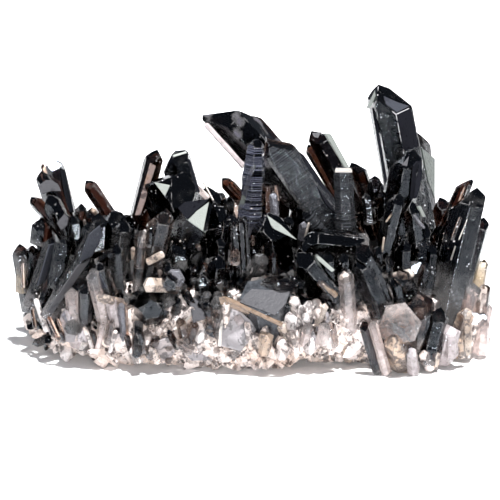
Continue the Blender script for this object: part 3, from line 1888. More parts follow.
RIGHT_GROUP = CrystalGroup(
    "right group",
    {
        "middle_right_crystals": (
            Crystal((21.4, 9, 66.7), (43.0, 6, 25.5), 6.5, 16, shift=(-0.2, 0.0)),
            Crystal((19.3, 12, 61.0), (37.5, 10, 30), 3.8, 0),
        ),
        "grey_upright_crystal": (
            Crystal((29.4, -14, 61.8), (31.2, -17, 22), 5.4, 4, shift=(-0.1, 0.2), cut=0.34),
        ),
        "dark_wedge_crystal": (Crystal((34.0, 2, 58.0), (45.0, -1, 26), 4.7, 20, shift=(-0.3, 0.0)),),
        "tallest_crystal": (
            Crystal(
                (43.2, 9, 81.5),
                (55.8, 9, 20),
                12.2,
                -14,
                shift=(-0.17, 0.0),
                points=(0.2, 0.0, 0.1, 0.0, 0.1, 0.0),
            ),
        ),
        "right_black_crystal": (Crystal((50.3, -9, 64.8), (44.0, -10, 26), 9.2, 10, shift=(0.1, 0.0)),),
        "right_grey_crystal": (Crystal((55.3, 20, 63.0), (60.0, 20, 16), 5.4, -5, shift=(-0.15, 0.0)),),
        "right_back_crystal": (Crystal((61.5, 13, 43.5), (68.0, 12.5, 13), 5.8, 20),),
        "right_brown_blade": (Crystal((69.2, -1, 53.5), (54.0, -4, 18), 4.4, 30, shift=(0.3, 0.0)),),
        "right_end_crystals": (
            Crystal((69.6, -10, 53.0), (60.0, -17, 9), 10.4, 24, shift=(0.15, 0.0)),
            Crystal((73.0, -9, 43.0), (66.5, -13, 18), 6.0, 10, shift=(0.1, 0.0)),
        ),
        "rough_right_crystal": (Crystal((46.5, -20, 53.5), (40.5, -20, 27), 5.0, 8),),
        "right_leaning_crystal": (Crystal((50.5, -17, 50.0), (54.8, -12.5, 24.5), 5.0, 12),),
        "right_front_black_crystal": (Crystal((33.5, -29, 37.0), (42.5, -28, 15), 7.2, 18),),
        "ribbed_front_crystal": (Crystal((59.0, -31, 20.5), (55.0, -32, 3), 6.4, 0),),
    },
    finishes={
        "right_brown_blade": BROWN,
        "right_end_crystals": UMBER,
        "tallest_crystal": SPARKLING,
        "right_black_crystal": BLACK,
        "grey_upright_crystal": STRIATED,
        "right_grey_crystal": GREY,
    },
    growths={"ribbed_front_crystal": Growth(0.9, 0.16, 0.14)},
    seed=3,
)
BACK_GROUP = CrystalGroup(
    "back group",
    {
        "back_left_crystals": (
            Crystal((-45.0, 31, 34.0), (-38.0, 19, 14), 8.0, 15),
            Crystal((-37.0, 32, 31.0), (-32.0, 20, 14), 7.0, 0),
        ),
        "back_low_left_crystal": (Crystal((-59.0, 28, 29.0), (-49.0, 21, 11), 6.6, 10),),
        "back_middle_crystals": (
            Crystal((-13.0, 33, 42.0), (-13.0, 22, 18), 9.0, 20),
            Crystal((-20.5, 30, 39.0), (-18.5, 22, 18), 6.6, 10),
        ),
        "back_tall_crystal": (Crystal((12.0, 34, 48.0), (10.0, 28, 18), 7.4, 12),),
        "back_right_crystals": (
            Crystal((42.0, 35, 45.0), (37.0, 29, 17), 9.0, 8),
            Crystal((33.0, 35, 36.0), (29.0, 27, 16), 6.4, 20),
        ),
        "back_low_right_crystal": (Crystal((60.0, 31, 34.0), (50.0, 22, 12), 7.2, 16),),
        "right_end_back_crystal": (Crystal((72.0, 23, 27.0), (65.5, 23, 10), 5.6, 10),),
    },
    finishes={"right_end_back_crystal": BROWN},
    seed=4,
)

# What is strewn over the root mass: milky grains on the rim, dark points on the crown.
COARSE_GRAINS = Scatter("coarse_grains", "rim", 80000.0, 1.8, 5.5, 3.1, 0.1, 4)
FINE_GRAINS = Scatter("fine_grains", "rim", 420000.0, 0.7, 2.2, 3.1, 0.1, 5)
THICKET = Scatter("thicket", "crown", 60000.0, 1.6, 4.6, 0.55, 0.2, 9)
DRUSE = Scatter("druse", "crown", 200000.0, 0.8, 2.4, 0.8, 0.2, 6)
SPARKS = Scatter("sparks", "crown", 110000.0, 0.35, 0.9, 3.1, 0.0, 7)
EMBERS = Scatter("embers", "crown", 30000.0, 0.6, 1.8, 3.1, 0.0, 8)
DUST = Scatter("dust", "dusty", 220000.0, 0.15, 0.45, 3.1, 0.0, 12)
DUST_CHIPS = ShapeBox("dust_chips", 5, 31)
RIM_STUBS = Scatter("rim_stubs", "rim", 42000.0, 1.2, 4.2, 1.0, 0.1, 15)
SMOKY_STUBS = Scatter("smoky_stubs", "rim", 14000.0, 1.2, 4.0, 0.9, 0.1, 16)

# Small crystals in the root mass, by finish.
LOOSE_CRYSTALS = (
    LooseCrystals(
        "pale_crystals",
        PALE,
        (
            Crystal((-53.5, -31, 26.5), (-52.5, -26, 9), 3.8, 0),
            Crystal((-47.0, -32, 33.0), (-42.5, -28, 9), 4.0, 10),
            Crystal((29.7, -31, 33.1), (32.3, -27, 3.5), 4.2, 4, foot=5.4),
            Crystal((37.5, -39, 18.5), (42.5, -35, 0.5), 2.8, 0),
            Crystal((46.0, -42, 18.5), (46.5, -24, 13), 12.0, 10),
            Crystal((71.0, -15, 23.0), (64.0, -12, 5), 5.4, 20),
            Crystal((73.8, -6, 20.0), (65.0, -4, 5), 5.0, 0),
            Crystal((73.8, -17, 13.5), (64.0, -14, 3), 5.6, 10),
            Crystal((-20.0, 38, 24.0), (-18.0, 26, 8), 7.0, 0),
            Crystal((18.0, 39, 22.0), (15.0, 27, 6), 7.6, 12),
            Crystal((-18.6, 15.0, 47.9), (-9.9, 13.0, 40.5), 2.2, 0),
            Crystal((75.7, -11.0, 16.8), (73.7, -12.0, 6.3), 3.8, 20),
            Crystal((73.0, -20.0, 13.4), (72.5, -19.0, 1.7), 4.4, 10),
            Crystal((18.7, -38.0, 17.9), (17.4, -34.0, 9.6), 2.8, 10),
            Crystal((-43.4, -34.0, 16.6), (-45.5, -32.0, 7.6), 1.6, 10),
            Crystal((75.2, -13.0, 5.6), (74.4, -13.0, 0.3), 2.5, 0),
            Crystal((23.9, -38.0, 17.9), (22.8, -34.0, 10.2), 3.8, 25, cut=0.3),
        ),
    ),
    LooseCrystals(
        "mauve_crystals",
        MAUVE,
        (
            Crystal((-41.3, -34, 24.5), (-38.5, -28, 7), 3.4, 0),
            Crystal((-55.5, -30, 19.0), (-52.0, -23, 6), 4.6, 20),
            Crystal((62.5, -33, 16.0), (60.5, -26, 2), 5.8, 0),
            Crystal((47.0, 35, 20.0), (41.0, 25, 5), 6.4, 6),
            Crystal((-13.5, 15.0, 67.2), (-1.0, 14.0, 53.1), 1.6, 0),
            Crystal((-2.7, -34.0, 19.8), (-1.2, -30.0, 6.3), 4.4, 12, cut=0.15),
            Crystal((49.4, -38.0, 9.6), (50.9, -35.0, 0.9), 3.5, 15),
            Crystal((62.0, -33.0, 15.3), (62.5, -30.0, 4.7), 4.4, 0, cut=0.45),
        ),
    ),
    LooseCrystals(
        "cream_crystals",
        CREAM,
        (
            Crystal((-45.4, -37.2, 25.6), (-38.0, -31, 21.6), 2.6, 0),
            Crystal((-31.0, -38, 29.5), (-22.0, -28, 26), 4.4, 0),
            Crystal((44.5, -40, 14.0), (47.5, -30, 0.5), 7.0, 0),
            Crystal((68.0, -26, 18.5), (64.0, -20, 2), 5.0, 8),
            Crystal((-52.0, 29, 18.0), (-44.0, 21, 5), 6.2, 0),
            Crystal((-48.5, -3.0, 44.1), (-46.5, -1.0, 40.3), 1.6, 10),
            Crystal((-24.8, -30.0, 37.2), (-30.0, -28.0, 33.8), 2.2, 10),
            Crystal((-34.8, -22.0, 37.1), (-34.6, -21.0, 32.7), 1.6, 10),
            Crystal((-23.0, -32.0, 29.0), (-30.2, -28.0, 24.9), 2.5, 10),
            Crystal((-26.6, -30.0, 32.2), (-25.8, -29.0, 27.8), 1.3, 0),
            Crystal((19.1, -17.0, 43.4), (17.9, -16.0, 38.0), 0.6, 0),
            Crystal((67.1, -26.0, 18.5), (67.8, -23.0, 3.0), 3.5, 10),
            Crystal((51.3, -26.0, 30.0), (45.4, -23.0, 27.5), 2.8, 10),
            Crystal((44.5, -22.0, 47.6), (42.4, -22.0, 44.8), 0.5, 0),
            Crystal((41.8, -24.0, 40.6), (41.3, -23.0, 35.5), 0.6, 0),
            Crystal((10.0, -38.0, 17.9), (12.5, -34.0, 10.8), 2.8, 10, cut=0.2),
            Crystal((23.9, -36.0, 22.9), (21.6, -32.0, 15.3), 2.2, 15),
            Crystal((64.4, -31.0, 10.5), (66.1, -28.0, 3.7), 2.5, 10),
            Crystal((6.4, -40.0, 16.0), (4.9, -36.0, 7.7), 4.1, 15, cut=0.3),
            Crystal((30.3, -31.0, 7.3), (31.2, -26.0, 1.7), 2.5, 40),
            Crystal((57.9, -34.0, 7.0), (57.3, -31.0, 1.2), 2.5, 30),
        ),
        breaks=3,
    ),
    LooseCrystals(
        "tan_rods",
        TAN,
        (
            Crystal((-8.5, -39, 25.5), (13.0, -30, 14), 2.6, 0),
            Crystal((21.3, -31.0, 29.0), (27.1, -30.0, 23.6), 1.9, 0),
            Crystal((-6.9, -40.0, 26.1), (10.6, -41.4, 18.0), 1.3, 0),
        ),
    ),
    LooseCrystals(
        "smoky_crystals",
        SMOKE,
        (
            Crystal((14.5, -35, 29.0), (2.0, -28, 26), 5.0, 0),
            Crystal((33.5, -31, 40.5), (43.0, -25, 22), 6.0, 12),
            Crystal((-4.4, 5.0, 45.9), (-2.2, 3.0, 39.2), 3.8, 0),
            Crystal((-12.4, -35.0, 18.2), (-10.0, -32.0, 10.2), 2.8, 10),
            Crystal((17.0, -31.0, 27.7), (7.0, -28.0, 27.5), 4.4, 10, flat=0.7),
            Crystal((35.2, -22.0, 38.1), (36.5, -22.0, 28.8), 4.4, 10),
            Crystal((39.4, -23.0, 37.4), (40.5, -22.0, 28.2), 4.1, 20),
            Crystal((43.4, -24.0, 34.5), (42.7, -23.0, 25.9), 3.8, 10),
            Crystal((-20.2, -37.0, 18.8), (-18.5, -34.0, 9.6), 2.8, 10),
            Crystal((-15.4, -36.0, 17.2), (-17.9, -34.0, 8.9), 2.5, 0),
            Crystal((-26.9, -36.0, 12.8), (-30.1, -34.0, 5.7), 2.5, 10),
            Crystal((-33.0, -36.0, 14.7), (-31.3, -34.0, 7.0), 2.2, 10),
            Crystal((-11.8, -35.0, 22.0), (-10.6, -32.0, 12.1), 2.5, 0),
        ),
    ),
    LooseCrystals(
        "small_brown_crystals",
        BROWN,
        (
            Crystal((35.0, -38, 18.0), (40.0, -34, 0.5), 2.8, 20),
            Crystal((-63.9, -10.0, 42.4), (-65.0, -10.0, 34.4), 4.7, 10),
            Crystal((-40.7, -27.0, 36.4), (-45.8, -25.0, 32.6), 2.5, 10),
            Crystal((-29.1, -27.0, 44.2), (-29.5, -26.0, 38.0), 1.9, 10),
            Crystal((68.4, -5.0, 51.7), (65.1, -6.0, 43.6), 1.4, 0),
            Crystal((55.5, -22.0, 32.0), (53.2, -22.0, 21.8), 2.8, 0),
            Crystal((45.3, -39.0, 13.1), (50.0, -34.0, 3.5), 4.4, 10),
            Crystal((62.3, -13.0, 34.6), (59.3, -15.0, 22.2), 3.8, 10),
            Crystal((65.4, -20.5, 46.2), (62.8, -20.5, 38.6), 0.9, 0),
        ),
    ),
    LooseCrystals(
        "clear_crystals",
        CLEAR,
        (
            Crystal((52.5, -31, 25.0), (53.0, -28, 7), 8.4, 12),
            Crystal((46.0, -30, 31.5), (53.0, -22, 18), 4.4, 0),
            Crystal((-66.9, -18.0, 19.3), (-65.4, -18.0, 15.4), 1.9, 0),
            Crystal((-31.9, -26.0, 38.0), (-33.0, -24.0, 31.4), 2.8, 10),
            Crystal((-12.8, -29.0, 25.5), (-14.4, -28.0, 14.0), 2.5, 10),
            Crystal((-15.5, -28.0, 23.0), (-16.8, -27.0, 14.3), 2.2, 10),
            Crystal((-10.0, -28.0, 23.6), (-11.0, -27.0, 13.7), 2.2, 20),
            Crystal((-3.6, -30.0, 38.5), (-3.6, -28.0, 33.5), 2.8, 0),
            Crystal((73.7, -14.0, 22.9), (72.5, -14.0, 8.9), 4.7, 10),
            Crystal((52.1, -29.0, 22.7), (51.8, -27.0, 15.0), 7.9, 0, flat=0.6),
            Crystal((25.2, -35.0, 16.9), (26.5, -34.0, 8.9), 2.8, 10),
            Crystal((-21.4, -38.0, 12.2), (-17.3, -35.0, 7.3), 2.8, 30),
            Crystal((-40.9, -34.0, 17.9), (-42.4, -32.0, 8.9), 2.2, 10),
            Crystal((-9.3, -37.0, 20.7), (-8.8, -33.0, 9.9), 2.5, 20),
        ),
    ),
    LooseCrystals(
        "olive_crystals",
        OLIVE,
        (
            Crystal((73.5, -1, 27.0), (66.5, 0, 8), 3.6, 0),
            Crystal((-69.5, -9.0, 32.1), (-70.5, -9.0, 18.5), 3.8, 25),
            Crystal((74.0, -9.0, 29.2), (72.6, -10.0, 19.4), 3.2, 10),
        ),
        breaks=2,
    ),
    LooseCrystals(
        "amber_slivers",
        AMBER,
        (
            Crystal((-64.8, 9.0, 55.3), (-63.6, 11.0, 49.5), 1.3, 20),
            Crystal((-69.8, -13.0, 29.4), (-69.7, -13.0, 21.0), 0.8, 0),
            Crystal((-42.1, -30.0, 31.5), (-39.6, -29.0, 23.9), 0.7, 0),
            Crystal((-36.6, -34.0, 22.9), (-36.3, -32.0, 8.3), 0.8, 0),
            Crystal((-60.7, -29.0, 16.9), (-57.9, -28.0, 9.5), 1.3, 0),
            Crystal((-57.9, -30.0, 16.6), (-56.0, -29.0, 10.5), 0.8, 0),
            Crystal((-7.8, -2.0, 47.7), (-5.6, -2.0, 42.5), 1.1, 0),
            Crystal((-4.9, -22.0, 38.1), (-4.3, -21.0, 33.4), 1.0, 0),
            Crystal((-5.5, -26.0, 31.9), (-7.6, -25.0, 28.1), 1.0, 0),
            Crystal((-5.7, 4.0, 51.0), (-1.0, 5.0, 45.2), 2.2, 20),
            Crystal((8.7, -9.0, 53.4), (9.6, -9.0, 47.9), 1.3, 0),
            Crystal((1.6, -21.0, 40.4), (1.9, -20.0, 36.9), 0.9, 0),
            Crystal((4.6, -23.0, 37.4), (4.9, -22.0, 34.3), 0.9, 0),
            Crystal((-2.1, -20.0, 42.9), (-2.7, -19.0, 39.2), 0.9, 0),
            Crystal((-12.8, -25.0, 32.9), (-12.2, -24.0, 29.8), 0.9, 0),
        ),
    ),
    LooseCrystals(
        "white_crystals",
        WHITE,
        (
            Crystal((-50.6, -9.0, 42.2), (-49.6, -7.0, 34.8), 0.8, 0),
            Crystal((-65.3, -21.0, 20.2), (-61.5, -25.0, 10.5), 1.6, 10),
            Crystal((-30.8, -28.0, 44.2), (-32.2, -27.0, 38.3), 1.1, 0),
            Crystal((-16.0, -35.0, 21.4), (-22.5, -32.0, 14.3), 1.9, 10),
            Crystal((1.5, -39.0, 15.0), (4.6, -35.0, 7.3), 2.8, 20, cut=0.1),
            Crystal((6.4, -39.0, 16.9), (3.4, -35.0, 9.3), 2.5, 40),
            Crystal((13.6, -36.0, 25.5), (16.1, -32.0, 17.2), 3.2, 20),
            Crystal((16.9, -37.0, 22.9), (15.5, -33.0, 14.4), 2.2, 40),
            Crystal((20.3, -36.0, 24.5), (22.8, -32.0, 16.6), 2.8, 0, cut=0.15),
            Crystal((22.7, -37.0, 16.9), (25.3, -34.0, 8.9), 2.5, 30),
            Crystal((13.0, -39.0, 15.7), (14.9, -35.0, 8.0), 2.5, 10, cut=0.2),
            Crystal((17.2, -38.0, 20.7), (18.9, -34.0, 14.0), 2.5, 40),
            Crystal((-29.4, -37.0, 9.9), (-27.1, -34.0, 3.8), 2.2, 20),
            Crystal((-7.5, -36.0, 23.2), (-9.4, -33.0, 8.9), 1.6, 10),
            Crystal((-23.9, -36.0, 18.5), (-27.0, -34.0, 12.8), 1.6, 0),
            Crystal((-49.5, -33.0, 15.0), (-47.4, -31.0, 7.3), 1.3, 0),
            Crystal((-39.7, -35.0, 14.4), (-41.8, -32.0, 6.3), 1.3, 20),
            Crystal((-6.0, -39.0, 25.1), (-7.0, -31.0, 9.9), 2.5, 10),
            Crystal((0.0, -39.0, 18.2), (1.6, -34.0, 7.6), 1.9, 30),
            Crystal((68.9, -23.0, 7.2), (68.0, -21.0, 1.4), 2.8, 20),
            Crystal((70.8, -21.0, 12.4), (69.7, -21.0, 6.6), 2.2, 10),
            Crystal((13.6, -38.0, 21.0), (13.1, -34.0, 12.8), 3.8, 20, cut=0.35),
            Crystal((19.0, -37.0, 23.9), (18.0, -33.0, 16.3), 3.5, 10, cut=0.3),
            Crystal((11.5, -39.0, 12.5), (10.4, -36.0, 6.4), 3.8, 10, cut=0.3),
            Crystal((26.4, -28.0, 8.2), (28.8, -24.0, 1.4), 2.8, 20),
            Crystal((35.8, -30.0, 9.5), (34.2, -26.0, 2.4), 2.5, 10),
            Crystal((29.5, -32.6, 32.8), (30.0, -32.2, 29.0), 3.2, 4),
            Crystal((53.5, -35.0, 8.0), (56.0, -32.0, 1.2), 3.2, 20),
            Crystal((-34.9, -35.0, 9.3), (-33.3, -33.0, 3.5), 2.5, 25),
            Crystal((-15.3, -20.0, 37.5), (-14.8, -18.0, 35.0), 1.3, 0),
        ),
        breaks=3,
    ),
    LooseCrystals(
        "lavender_crystals",
        LAVENDER,
        (
            Crystal((-54.8, -30.0, 19.5), (-54.5, -28.0, 14.0), 3.5, 10, cut=0.2),
            Crystal((-38.1, -34.0, 22.9), (-37.5, -31.0, 9.9), 2.2, 10),
            Crystal((-21.7, -35.0, 31.1), (-21.8, -23.0, 26.3), 5.4, 0, cut=0.36),
            Crystal((8.0, -11.0, 51.3), (8.7, -11.0, 43.7), 2.5, 10),
            Crystal((17.6, -16.0, 43.4), (17.0, -14.0, 37.1), 2.5, 10),
            Crystal((50.7, -21.0, 47.0), (54.2, -20.0, 42.3), 0.8, 0),
        ),
        breaks=2,
    ),
    LooseCrystals(
        "small_grey_crystals",
        GREY,
        (
            Crystal((-48.6, -30.0, 26.5), (-49.6, -28.0, 14.7), 3.5, 0),
            Crystal((-33.3, -38.0, 6.4), (-33.2, -31.0, 15.6), 2.8, 10),
            Crystal((-21.9, -30.0, 23.6), (-21.1, -29.0, 15.0), 3.5, 15),
            Crystal((-0.9, -25.0, 47.8), (0.9, -23.0, 28.8), 1.6, 10),
        ),
    ),
    LooseCrystals(
        "small_black_crystals",
        BLACK,
        (
            Crystal((-66.8, -19.0, 16.7), (-65.6, -21.0, 10.5), 1.1, 0),
            Crystal((-54.1, -11.0, 44.3), (-50.6, -13.0, 28.8), 4.7, 10),
            Crystal((-49.0, -15.0, 42.8), (-50.4, -17.0, 26.7), 3.5, 25),
            Crystal((-56.1, -19.0, 39.5), (-58.8, -21.0, 23.4), 4.7, 10),
            Crystal((-66.7, -8.0, 33.8), (-68.6, -9.0, 19.1), 4.7, 10),
            Crystal((-45.7, -7.0, 43.9), (-46.4, -9.0, 32.1), 6.9, 5),
            Crystal((-52.2, -26.0, 26.2), (-51.9, -25.0, 15.0), 3.8, 10),
            Crystal((-37.0, -7.0, 43.2), (-37.7, -9.0, 31.5), 5.0, 30),
            Crystal((-27.1, -29.0, 25.5), (-25.4, -27.0, 14.3), 5.7, 10),
            Crystal((-29.7, -23.0, 32.3), (-29.2, -23.0, 20.8), 4.7, 12),
            Crystal((-21.2, -17.0, 37.6), (-20.1, -19.0, 22.8), 6.9, 5),
            Crystal((-16.5, -22.0, 32.0), (-18.1, -22.0, 19.9), 3.8, 25),
            Crystal((-24.2, -23.0, 32.3), (-24.9, -23.0, 20.8), 3.8, 0),
            Crystal((-12.9, -21.0, 34.3), (-12.3, -22.0, 20.5), 4.4, 10),
            Crystal((-7.7, -17.0, 38.3), (-8.3, -18.0, 23.8), 3.8, 0),
            Crystal((-9.5, -24.0, 30.7), (-9.2, -24.0, 20.5), 3.2, 10),
            Crystal((-5.2, -24.0, 32.6), (-4.3, -24.0, 19.8), 3.8, 20),
            Crystal((-2.1, -26.0, 29.1), (-2.4, -26.0, 19.2), 3.5, 0),
            Crystal((12.7, -35.0, 25.1), (10.4, -32.0, 15.3), 3.8, 10),
            Crystal((11.9, -5.0, 42.7), (11.9, -7.0, 30.9), 6.9, 5),
            Crystal((20.0, -3.0, 42.1), (20.7, -5.0, 30.3), 6.3, 10),
            Crystal((-4.7, -5.0, 42.7), (-3.4, -7.0, 29.0), 4.4, 10),
            Crystal((2.8, -15.0, 39.6), (2.8, -17.0, 26.1), 5.0, 5),
            Crystal((18.1, -21.0, 38.8), (20.0, -23.0, 22.7), 5.7, 5),
            Crystal((24.1, -26.0, 37.0), (25.4, -26.0, 20.5), 5.7, 10),
            Crystal((39.5, -5.0, 55.2), (40.2, -6.0, 44.9), 3.8, 10),
            Crystal((42.5, -8.0, 51.2), (42.6, -9.0, 41.8), 3.8, 25),
            Crystal((37.3, -7.0, 50.3), (38.3, -8.0, 40.3), 3.5, 0),
            Crystal((32.3, -1.0, 41.6), (33.0, -4.0, 30.1), 5.0, 10),
            Crystal((46.9, 1.0, 41.1), (47.3, -1.0, 29.2), 5.0, 10),
            Crystal((38.0, -28.0, 33.8), (42.5, -27.0, 20.1), 5.7, 10),
            Crystal((44.5, -27.0, 29.1), (47.2, -26.0, 18.9), 4.4, 15),
            Crystal((49.2, -26.0, 25.6), (50.1, -25.0, 16.9), 3.8, 0),
            Crystal((54.7, -13.0, 42.9), (53.0, -16.0, 25.1), 6.3, 8),
            Crystal((48.1, -20.0, 38.5), (47.7, -21.0, 23.4), 5.0, 20),
            Crystal((57.4, -16.0, 35.8), (55.4, -18.0, 20.6), 4.4, 10),
            Crystal((60.3, -9.0, 40.5), (57.6, -12.0, 25.2), 4.4, 20),
            Crystal((33.3, -25.0, 32.9), (34.1, -25.0, 19.5), 4.7, 10),
            Crystal((-23.9, -37.0, 15.0), (-21.0, -34.0, 8.3), 1.9, 20),
            Crystal((-12.7, -33.0, 23.3), (-10.0, -31.0, 14.3), 2.2, 10),
            Crystal((-18.5, -32.0, 25.5), (-14.9, -30.0, 17.2), 2.5, 35),
            Crystal((16.1, 3.0, 43.8), (16.7, -1.0, 33.1), 4.1, 10),
            Crystal((-47.2, -32.0, 13.4), (-46.1, -31.0, 8.6), 1.6, 10),
            Crystal((-57.1, -30.0, 12.7), (-56.0, -29.0, 8.6), 1.3, 10),
            Crystal((-36.7, -34.0, 12.8), (-35.6, -33.0, 7.3), 1.6, 10),
        ),
        growth=Growth(1.3, 0.012, 0.05),
    ),
    LooseCrystals(
        "small_dark_crystals",
        DARK,
        (
            Crystal((-9.4, 1.0, 48.2), (-5.7, -1.0, 37.0), 4.1, 25),
            Crystal((-7.0, -27.0, 27.8), (-5.8, -27.0, 19.8), 2.8, 0),
            Crystal((7.9, -32.0, 38.1), (8.2, -30.0, 30.0), 2.2, 10),
            Crystal((4.6, -28.0, 29.4), (3.4, -28.0, 21.7), 4.4, 10),
            Crystal((29.0, -32.0, 37.5), (29.8, -29.0, 30.3), 3.8, 14),
            Crystal((6.2, -3.0, 52.8), (6.3, -5.0, 40.1), 2.8, 10),
        ),
        growth=Growth(1.3, 0.012, 0.05),
    ),
)

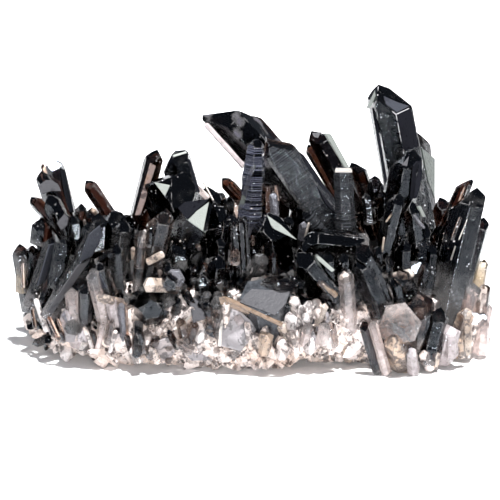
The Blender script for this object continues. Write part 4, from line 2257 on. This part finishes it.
# Frosted faces, by finish.
FROSTED_FACES = (
    Panes(
        "bright_faces",
        GLINT,
        (
            ((-28.7, -9.9, 54.2), (-23.7, -11.2, 53.6), (-25.3, -12.4, 50.4)),
            ((-23.5, 11.9, 57.5), (-19.4, 13.6, 58.4), (-19.1, 13.1, 57.9), (-23.2, 11.4, 57.0)),
            ((-11.6, -19.0, 50.3), (-18.6, -21.3, 45.5), (-13.4, -22.3, 42.0)),
            ((6.1, -20.3, 46.5), (7.7, -21.4, 42.7), (15.3, -22.4, 39.2), (10.4, -21.1, 43.6)),
            ((24.5, 5.8, 66.1), (26.5, 10.4, 64.7), (32.6, 9.9, 53.7), (31.2, 6.1, 54.4)),
            ((52.3, -19.5, 49.1), (53.4, -16.5, 48.3), (55.3, -13.3, 44.0), (54.1, -16.2, 44.8)),
            ((20.1, -28.6, 35.9), (21.3, -28.4, 36.4), (26.7, -29.7, 31.8), (25.8, -29.9, 31.2)),
        ),
    ),
    Panes(
        "hazy_faces",
        HAZE,
        (
            ((20.5, 8.2, 65.5), (23.3, 8.1, 65.9), (22.3, 6.7, 64.3), (21.1, 7.1, 64.5)),
            (
                (-65.9, 4.9, 49.2),
                (-63.4, 5.4, 51.0),
                (-61.5, 5.3, 51.0),
                (-59.6, 4.8, 49.8),
                (-58.6, 4.0, 47.8),
                (-61.8, 4.2, 47.7),
                (-64.6, 4.0, 46.8),
            ),
            (
                (-58.7, -13.4, 42.1),
                (-56.4, -13.4, 44.9),
                (-55.2, -14.0, 43.8),
                (-55.5, -14.4, 41.7),
                (-57.4, -14.2, 40.1),
            ),
            (
                (1.5, -33.4, 26.9),
                (13.0, -34.6, 26.6),
                (11.8, -38.1, 23.9),
                (8.4, -41.5, 21.2),
                (-2.1, -37.1, 23.9),
                (-0.6, -35.1, 25.5),
            ),
            ((47.5, -13.6, 60.6), (49.8, -11.1, 62.8), (49.1, -13.4, 60.2)),
            ((50.7, -20.9, 46.7), (51.7, -19.0, 46.2), (54.4, -17.1, 42.1), (53.3, -19.3, 42.4)),
            (
                (-51.5, -26.4, 32.1),
                (-47.9, -24.3, 33.4),
                (-54.7, -26.2, 23.7),
                (-59.6, -27.7, 17.1),
                (-61.0, -29.0, 18.2),
                (-56.4, -27.7, 24.8),
            ),
            ((14.9, -32.7, 18.1), (18.6, -31.2, 18.9), (21.3, -32.0, 15.6), (17.0, -33.6, 14.9)),
            (
                (-17.3, -31.8, 22.9),
                (-14.3, -27.1, 22.7),
                (-12.4, -34.8, 18.1),
                (-15.9, -40.0, 18.5),
            ),
        ),
    ),
    Panes(
        "greenish_faces",
        GREENISH,
        (
            ((1.3, -4.4, 58.0), (2.5, -5.4, 58.5), (-1.2, -3.7, 44.6), (-3.1, -2.3, 42.9)),
            ((40.0, 6.8, 79.6), (37.2, 5.2, 74.2), (38.5, 5.2, 74.2), (40.3, 6.2, 77.5)),
            ((55.7, 15.7, 58.9), (60.4, 21.0, 54.0), (60.5, 19.4, 41.4), (58.0, 17.1, 48.0)),
        ),
    ),
    Panes(
        "bright_edges",
        EDGE,
        (
            ((67.6, -17.2, 44.4), (67.8, -17.2, 44.3), (65.2, -18.9, 38.2), (65.0, -18.9, 38.3)),
            ((64.0, -17.5, 35.9), (64.2, -17.7, 35.8), (62.9, -18.1, 31.5), (62.7, -17.9, 31.6)),
            ((-13.8, 2.2, 51.2), (-13.4, 2.2, 51.1), (-10.3, -3.7, 46.9), (-10.7, -3.8, 46.9)),
            ((27.2, -15.7, 60.2), (31.8, -16.5, 60.3), (32.0, -19.6, 60.2), (26.8, -18.7, 60.0)),
            (
                (-5.1, -34.5, 22.5),
                (-7.2, -35.3, 19.5),
                (-8.4, -36.6, 14.9),
                (-8.7, -38.0, 10.2),
                (-7.8, -38.0, 10.2),
                (-7.2, -35.6, 18.4),
            ),
            (
                (-15.7, -32.5, 21.2),
                (-14.8, -32.8, 20.3),
                (-20.3, -34.4, 14.5),
                (-22.7, -34.5, 14.2),
            ),
        ),
    ),
    Panes(
        "ink_faces",
        INK,
        (
            (
                (-21.2, -16.0, 47.6),
                (-19.0, -15.2, 49.3),
                (-11.9, -18.6, 51.1),
                (-18.3, -21.8, 45.7),
            ),
            ((-59.2, 13.2, 52.9), (-58.1, 15.6, 51.7), (-55.4, 13.6, 38.3), (-56.7, 10.0, 39.3)),
            ((-18.7, -2.4, 60.3), (-17.7, -2.6, 59.5), (-14.6, -5.4, 49.9), (-15.9, -5.4, 49.9)),
            ((46.8, 2.4, 72.6), (51.4, 7.4, 73.8), (54.2, 7.6, 61.5), (49.1, 2.4, 60.8)),
            ((39.2, 6.7, 73.9), (40.1, 6.9, 74.5), (43.9, 0.5, 52.2), (43.2, 0.0, 50.4)),
            (
                (51.1, -14.7, 60.5),
                (52.4, -13.2, 61.7),
                (52.5, -12.8, 58.2),
                (51.4, -13.6, 50.1),
                (50.4, -14.8, 49.8),
            ),
            (
                (16.4, -4.3, 62.4),
                (17.7, -3.9, 61.3),
                (27.4, -5.5, 47.3),
                (27.7, -8.4, 43.6),
                (24.5, -8.9, 47.0),
            ),
            (
                (52.5, -11.9, 61.1),
                (53.8, -11.7, 61.7),
                (53.8, -13.2, 56.4),
                (52.2, -14.9, 50.5),
                (51.3, -15.0, 50.2),
                (51.9, -13.4, 55.8),
            ),
        ),
    ),
    Panes(
        "rosy_faces",
        ROSY,
        (
            (
                (-30.1, -4.1, 58.9),
                (-28.3, -4.4, 58.0),
                (-30.4, -6.1, 52.0),
                (-31.7, -7.5, 47.2),
                (-33.2, -8.6, 43.3),
                (-34.8, -8.6, 43.3),
                (-32.9, -6.9, 49.3),
            ),
        ),
    ),
    Panes(
        "slate_faces",
        SLATE,
        (
            (
                (-47.9, -26.3, 41.8),
                (-44.6, -24.8, 44.3),
                (-43.9, -23.6, 40.8),
                (-47.3, -24.4, 34.7),
                (-50.8, -26.3, 33.3),
            ),
            (
                (-60.5, -18.7, 36.5),
                (-58.9, -15.9, 36.1),
                (-59.8, -14.4, 29.8),
                (-62.8, -16.5, 24.0),
                (-64.5, -18.8, 23.4),
            ),
            (
                (-47.7, -29.4, 29.8),
                (-45.0, -31.9, 31.8),
                (-42.7, -32.3, 26.9),
                (-44.6, -30.6, 25.7),
                (-47.2, -28.7, 25.8),
            ),
            (
                (42.8, 5.9, 77.9),
                (46.9, 6.5, 75.9),
                (50.8, 7.5, 74.4),
                (46.8, 3.1, 73.4),
                (43.3, 3.6, 75.9),
            ),
            (
                (-11.8, -33.1, 17.6),
                (-8.8, -33.5, 16.4),
                (-10.0, -34.8, 11.7),
                (-13.0, -34.3, 13.5),
            ),
            (
                (-34.8, -30.0, 14.0),
                (-32.0, -30.0, 14.0),
                (-32.9, -32.2, 6.4),
                (-34.2, -32.0, 7.0),
            ),
        ),
    ),
    Panes(
        "pearly_faces",
        PEARL,
        (
            (
                (-4.8, -33.5, 21.8),
                (-7.2, -34.4, 18.6),
                (-7.8, -36.9, 9.9),
                (-1.8, -37.4, 8.4),
                (1.5, -36.3, 12.2),
                (3.4, -35.3, 15.7),
            ),
            (
                (21.6, -31.4, 19.9),
                (24.7, -30.9, 18.8),
                (26.2, -31.9, 12.7),
                (23.5, -33.2, 10.0),
                (21.0, -33.0, 13.7),
            ),
            (
                (-20.5, -31.2, 6.7),
                (-12.8, -30.8, 8.2),
                (-3.6, -31.3, 6.4),
                (-8.8, -32.0, 3.8),
                (-16.8, -32.1, 3.5),
            ),
            (
                (-30.9, -31.6, 4.3),
                (-29.4, -35.3, 9.7),
                (-23.9, -36.2, 12.2),
                (-22.0, -31.6, 6.2),
                (-25.2, -28.5, 1.3),
            ),
            (
                (3.4, -32.9, 12.4),
                (7.0, -32.4, 14.2),
                (10.7, -33.2, 11.2),
                (8.2, -34.4, 7.1),
                (4.0, -34.1, 8.3),
            ),
            (
                (-56.6, -28.1, 13.4),
                (-54.2, -27.8, 14.3),
                (-52.0, -28.6, 11.6),
                (-52.9, -29.4, 8.7),
                (-57.2, -29.4, 8.7),
            ),
            (
                (-51.3, -28.6, 18.1),
                (-49.1, -29.9, 13.4),
                (-47.3, -31.2, 9.0),
                (-51.6, -31.1, 9.3),
            ),
            ((16.1, -33.4, 13.8), (19.8, -33.0, 15.0), (21.6, -34.4, 10.3), (17.4, -34.9, 8.6)),
        ),
    ),
)


def main() -> None:
    """Builds the cluster and the studio, and notes the sizes of both models."""
    logging.basicConfig(level=logging.INFO, format="%(message)s")
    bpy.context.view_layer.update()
    first = LEFT_GROUP.nodes["left_twin_back"][0]
    shift = footprint_shift(first, "left_twin_back")
    LOG.info("layout shift %s", [round(v, 5) for v in shift])
    for group in (LEFT_GROUP, MIDDLE_GROUP, RIGHT_GROUP, BACK_GROUP):
        LOG.info("%s: %d pieces", group.name, group.build(shift))
    LOG.info("root mass: %d pieces", RootMass().build(shift))
    for loose in LOOSE_CRYSTALS:
        LOG.info("%s: %d crystals", loose.name, loose.build(shift))
    for panes in FROSTED_FACES:
        LOG.info("%s: %d faces", panes.name, panes.build(shift))
    Studio().build()


if __name__ == "__main__":
    main()
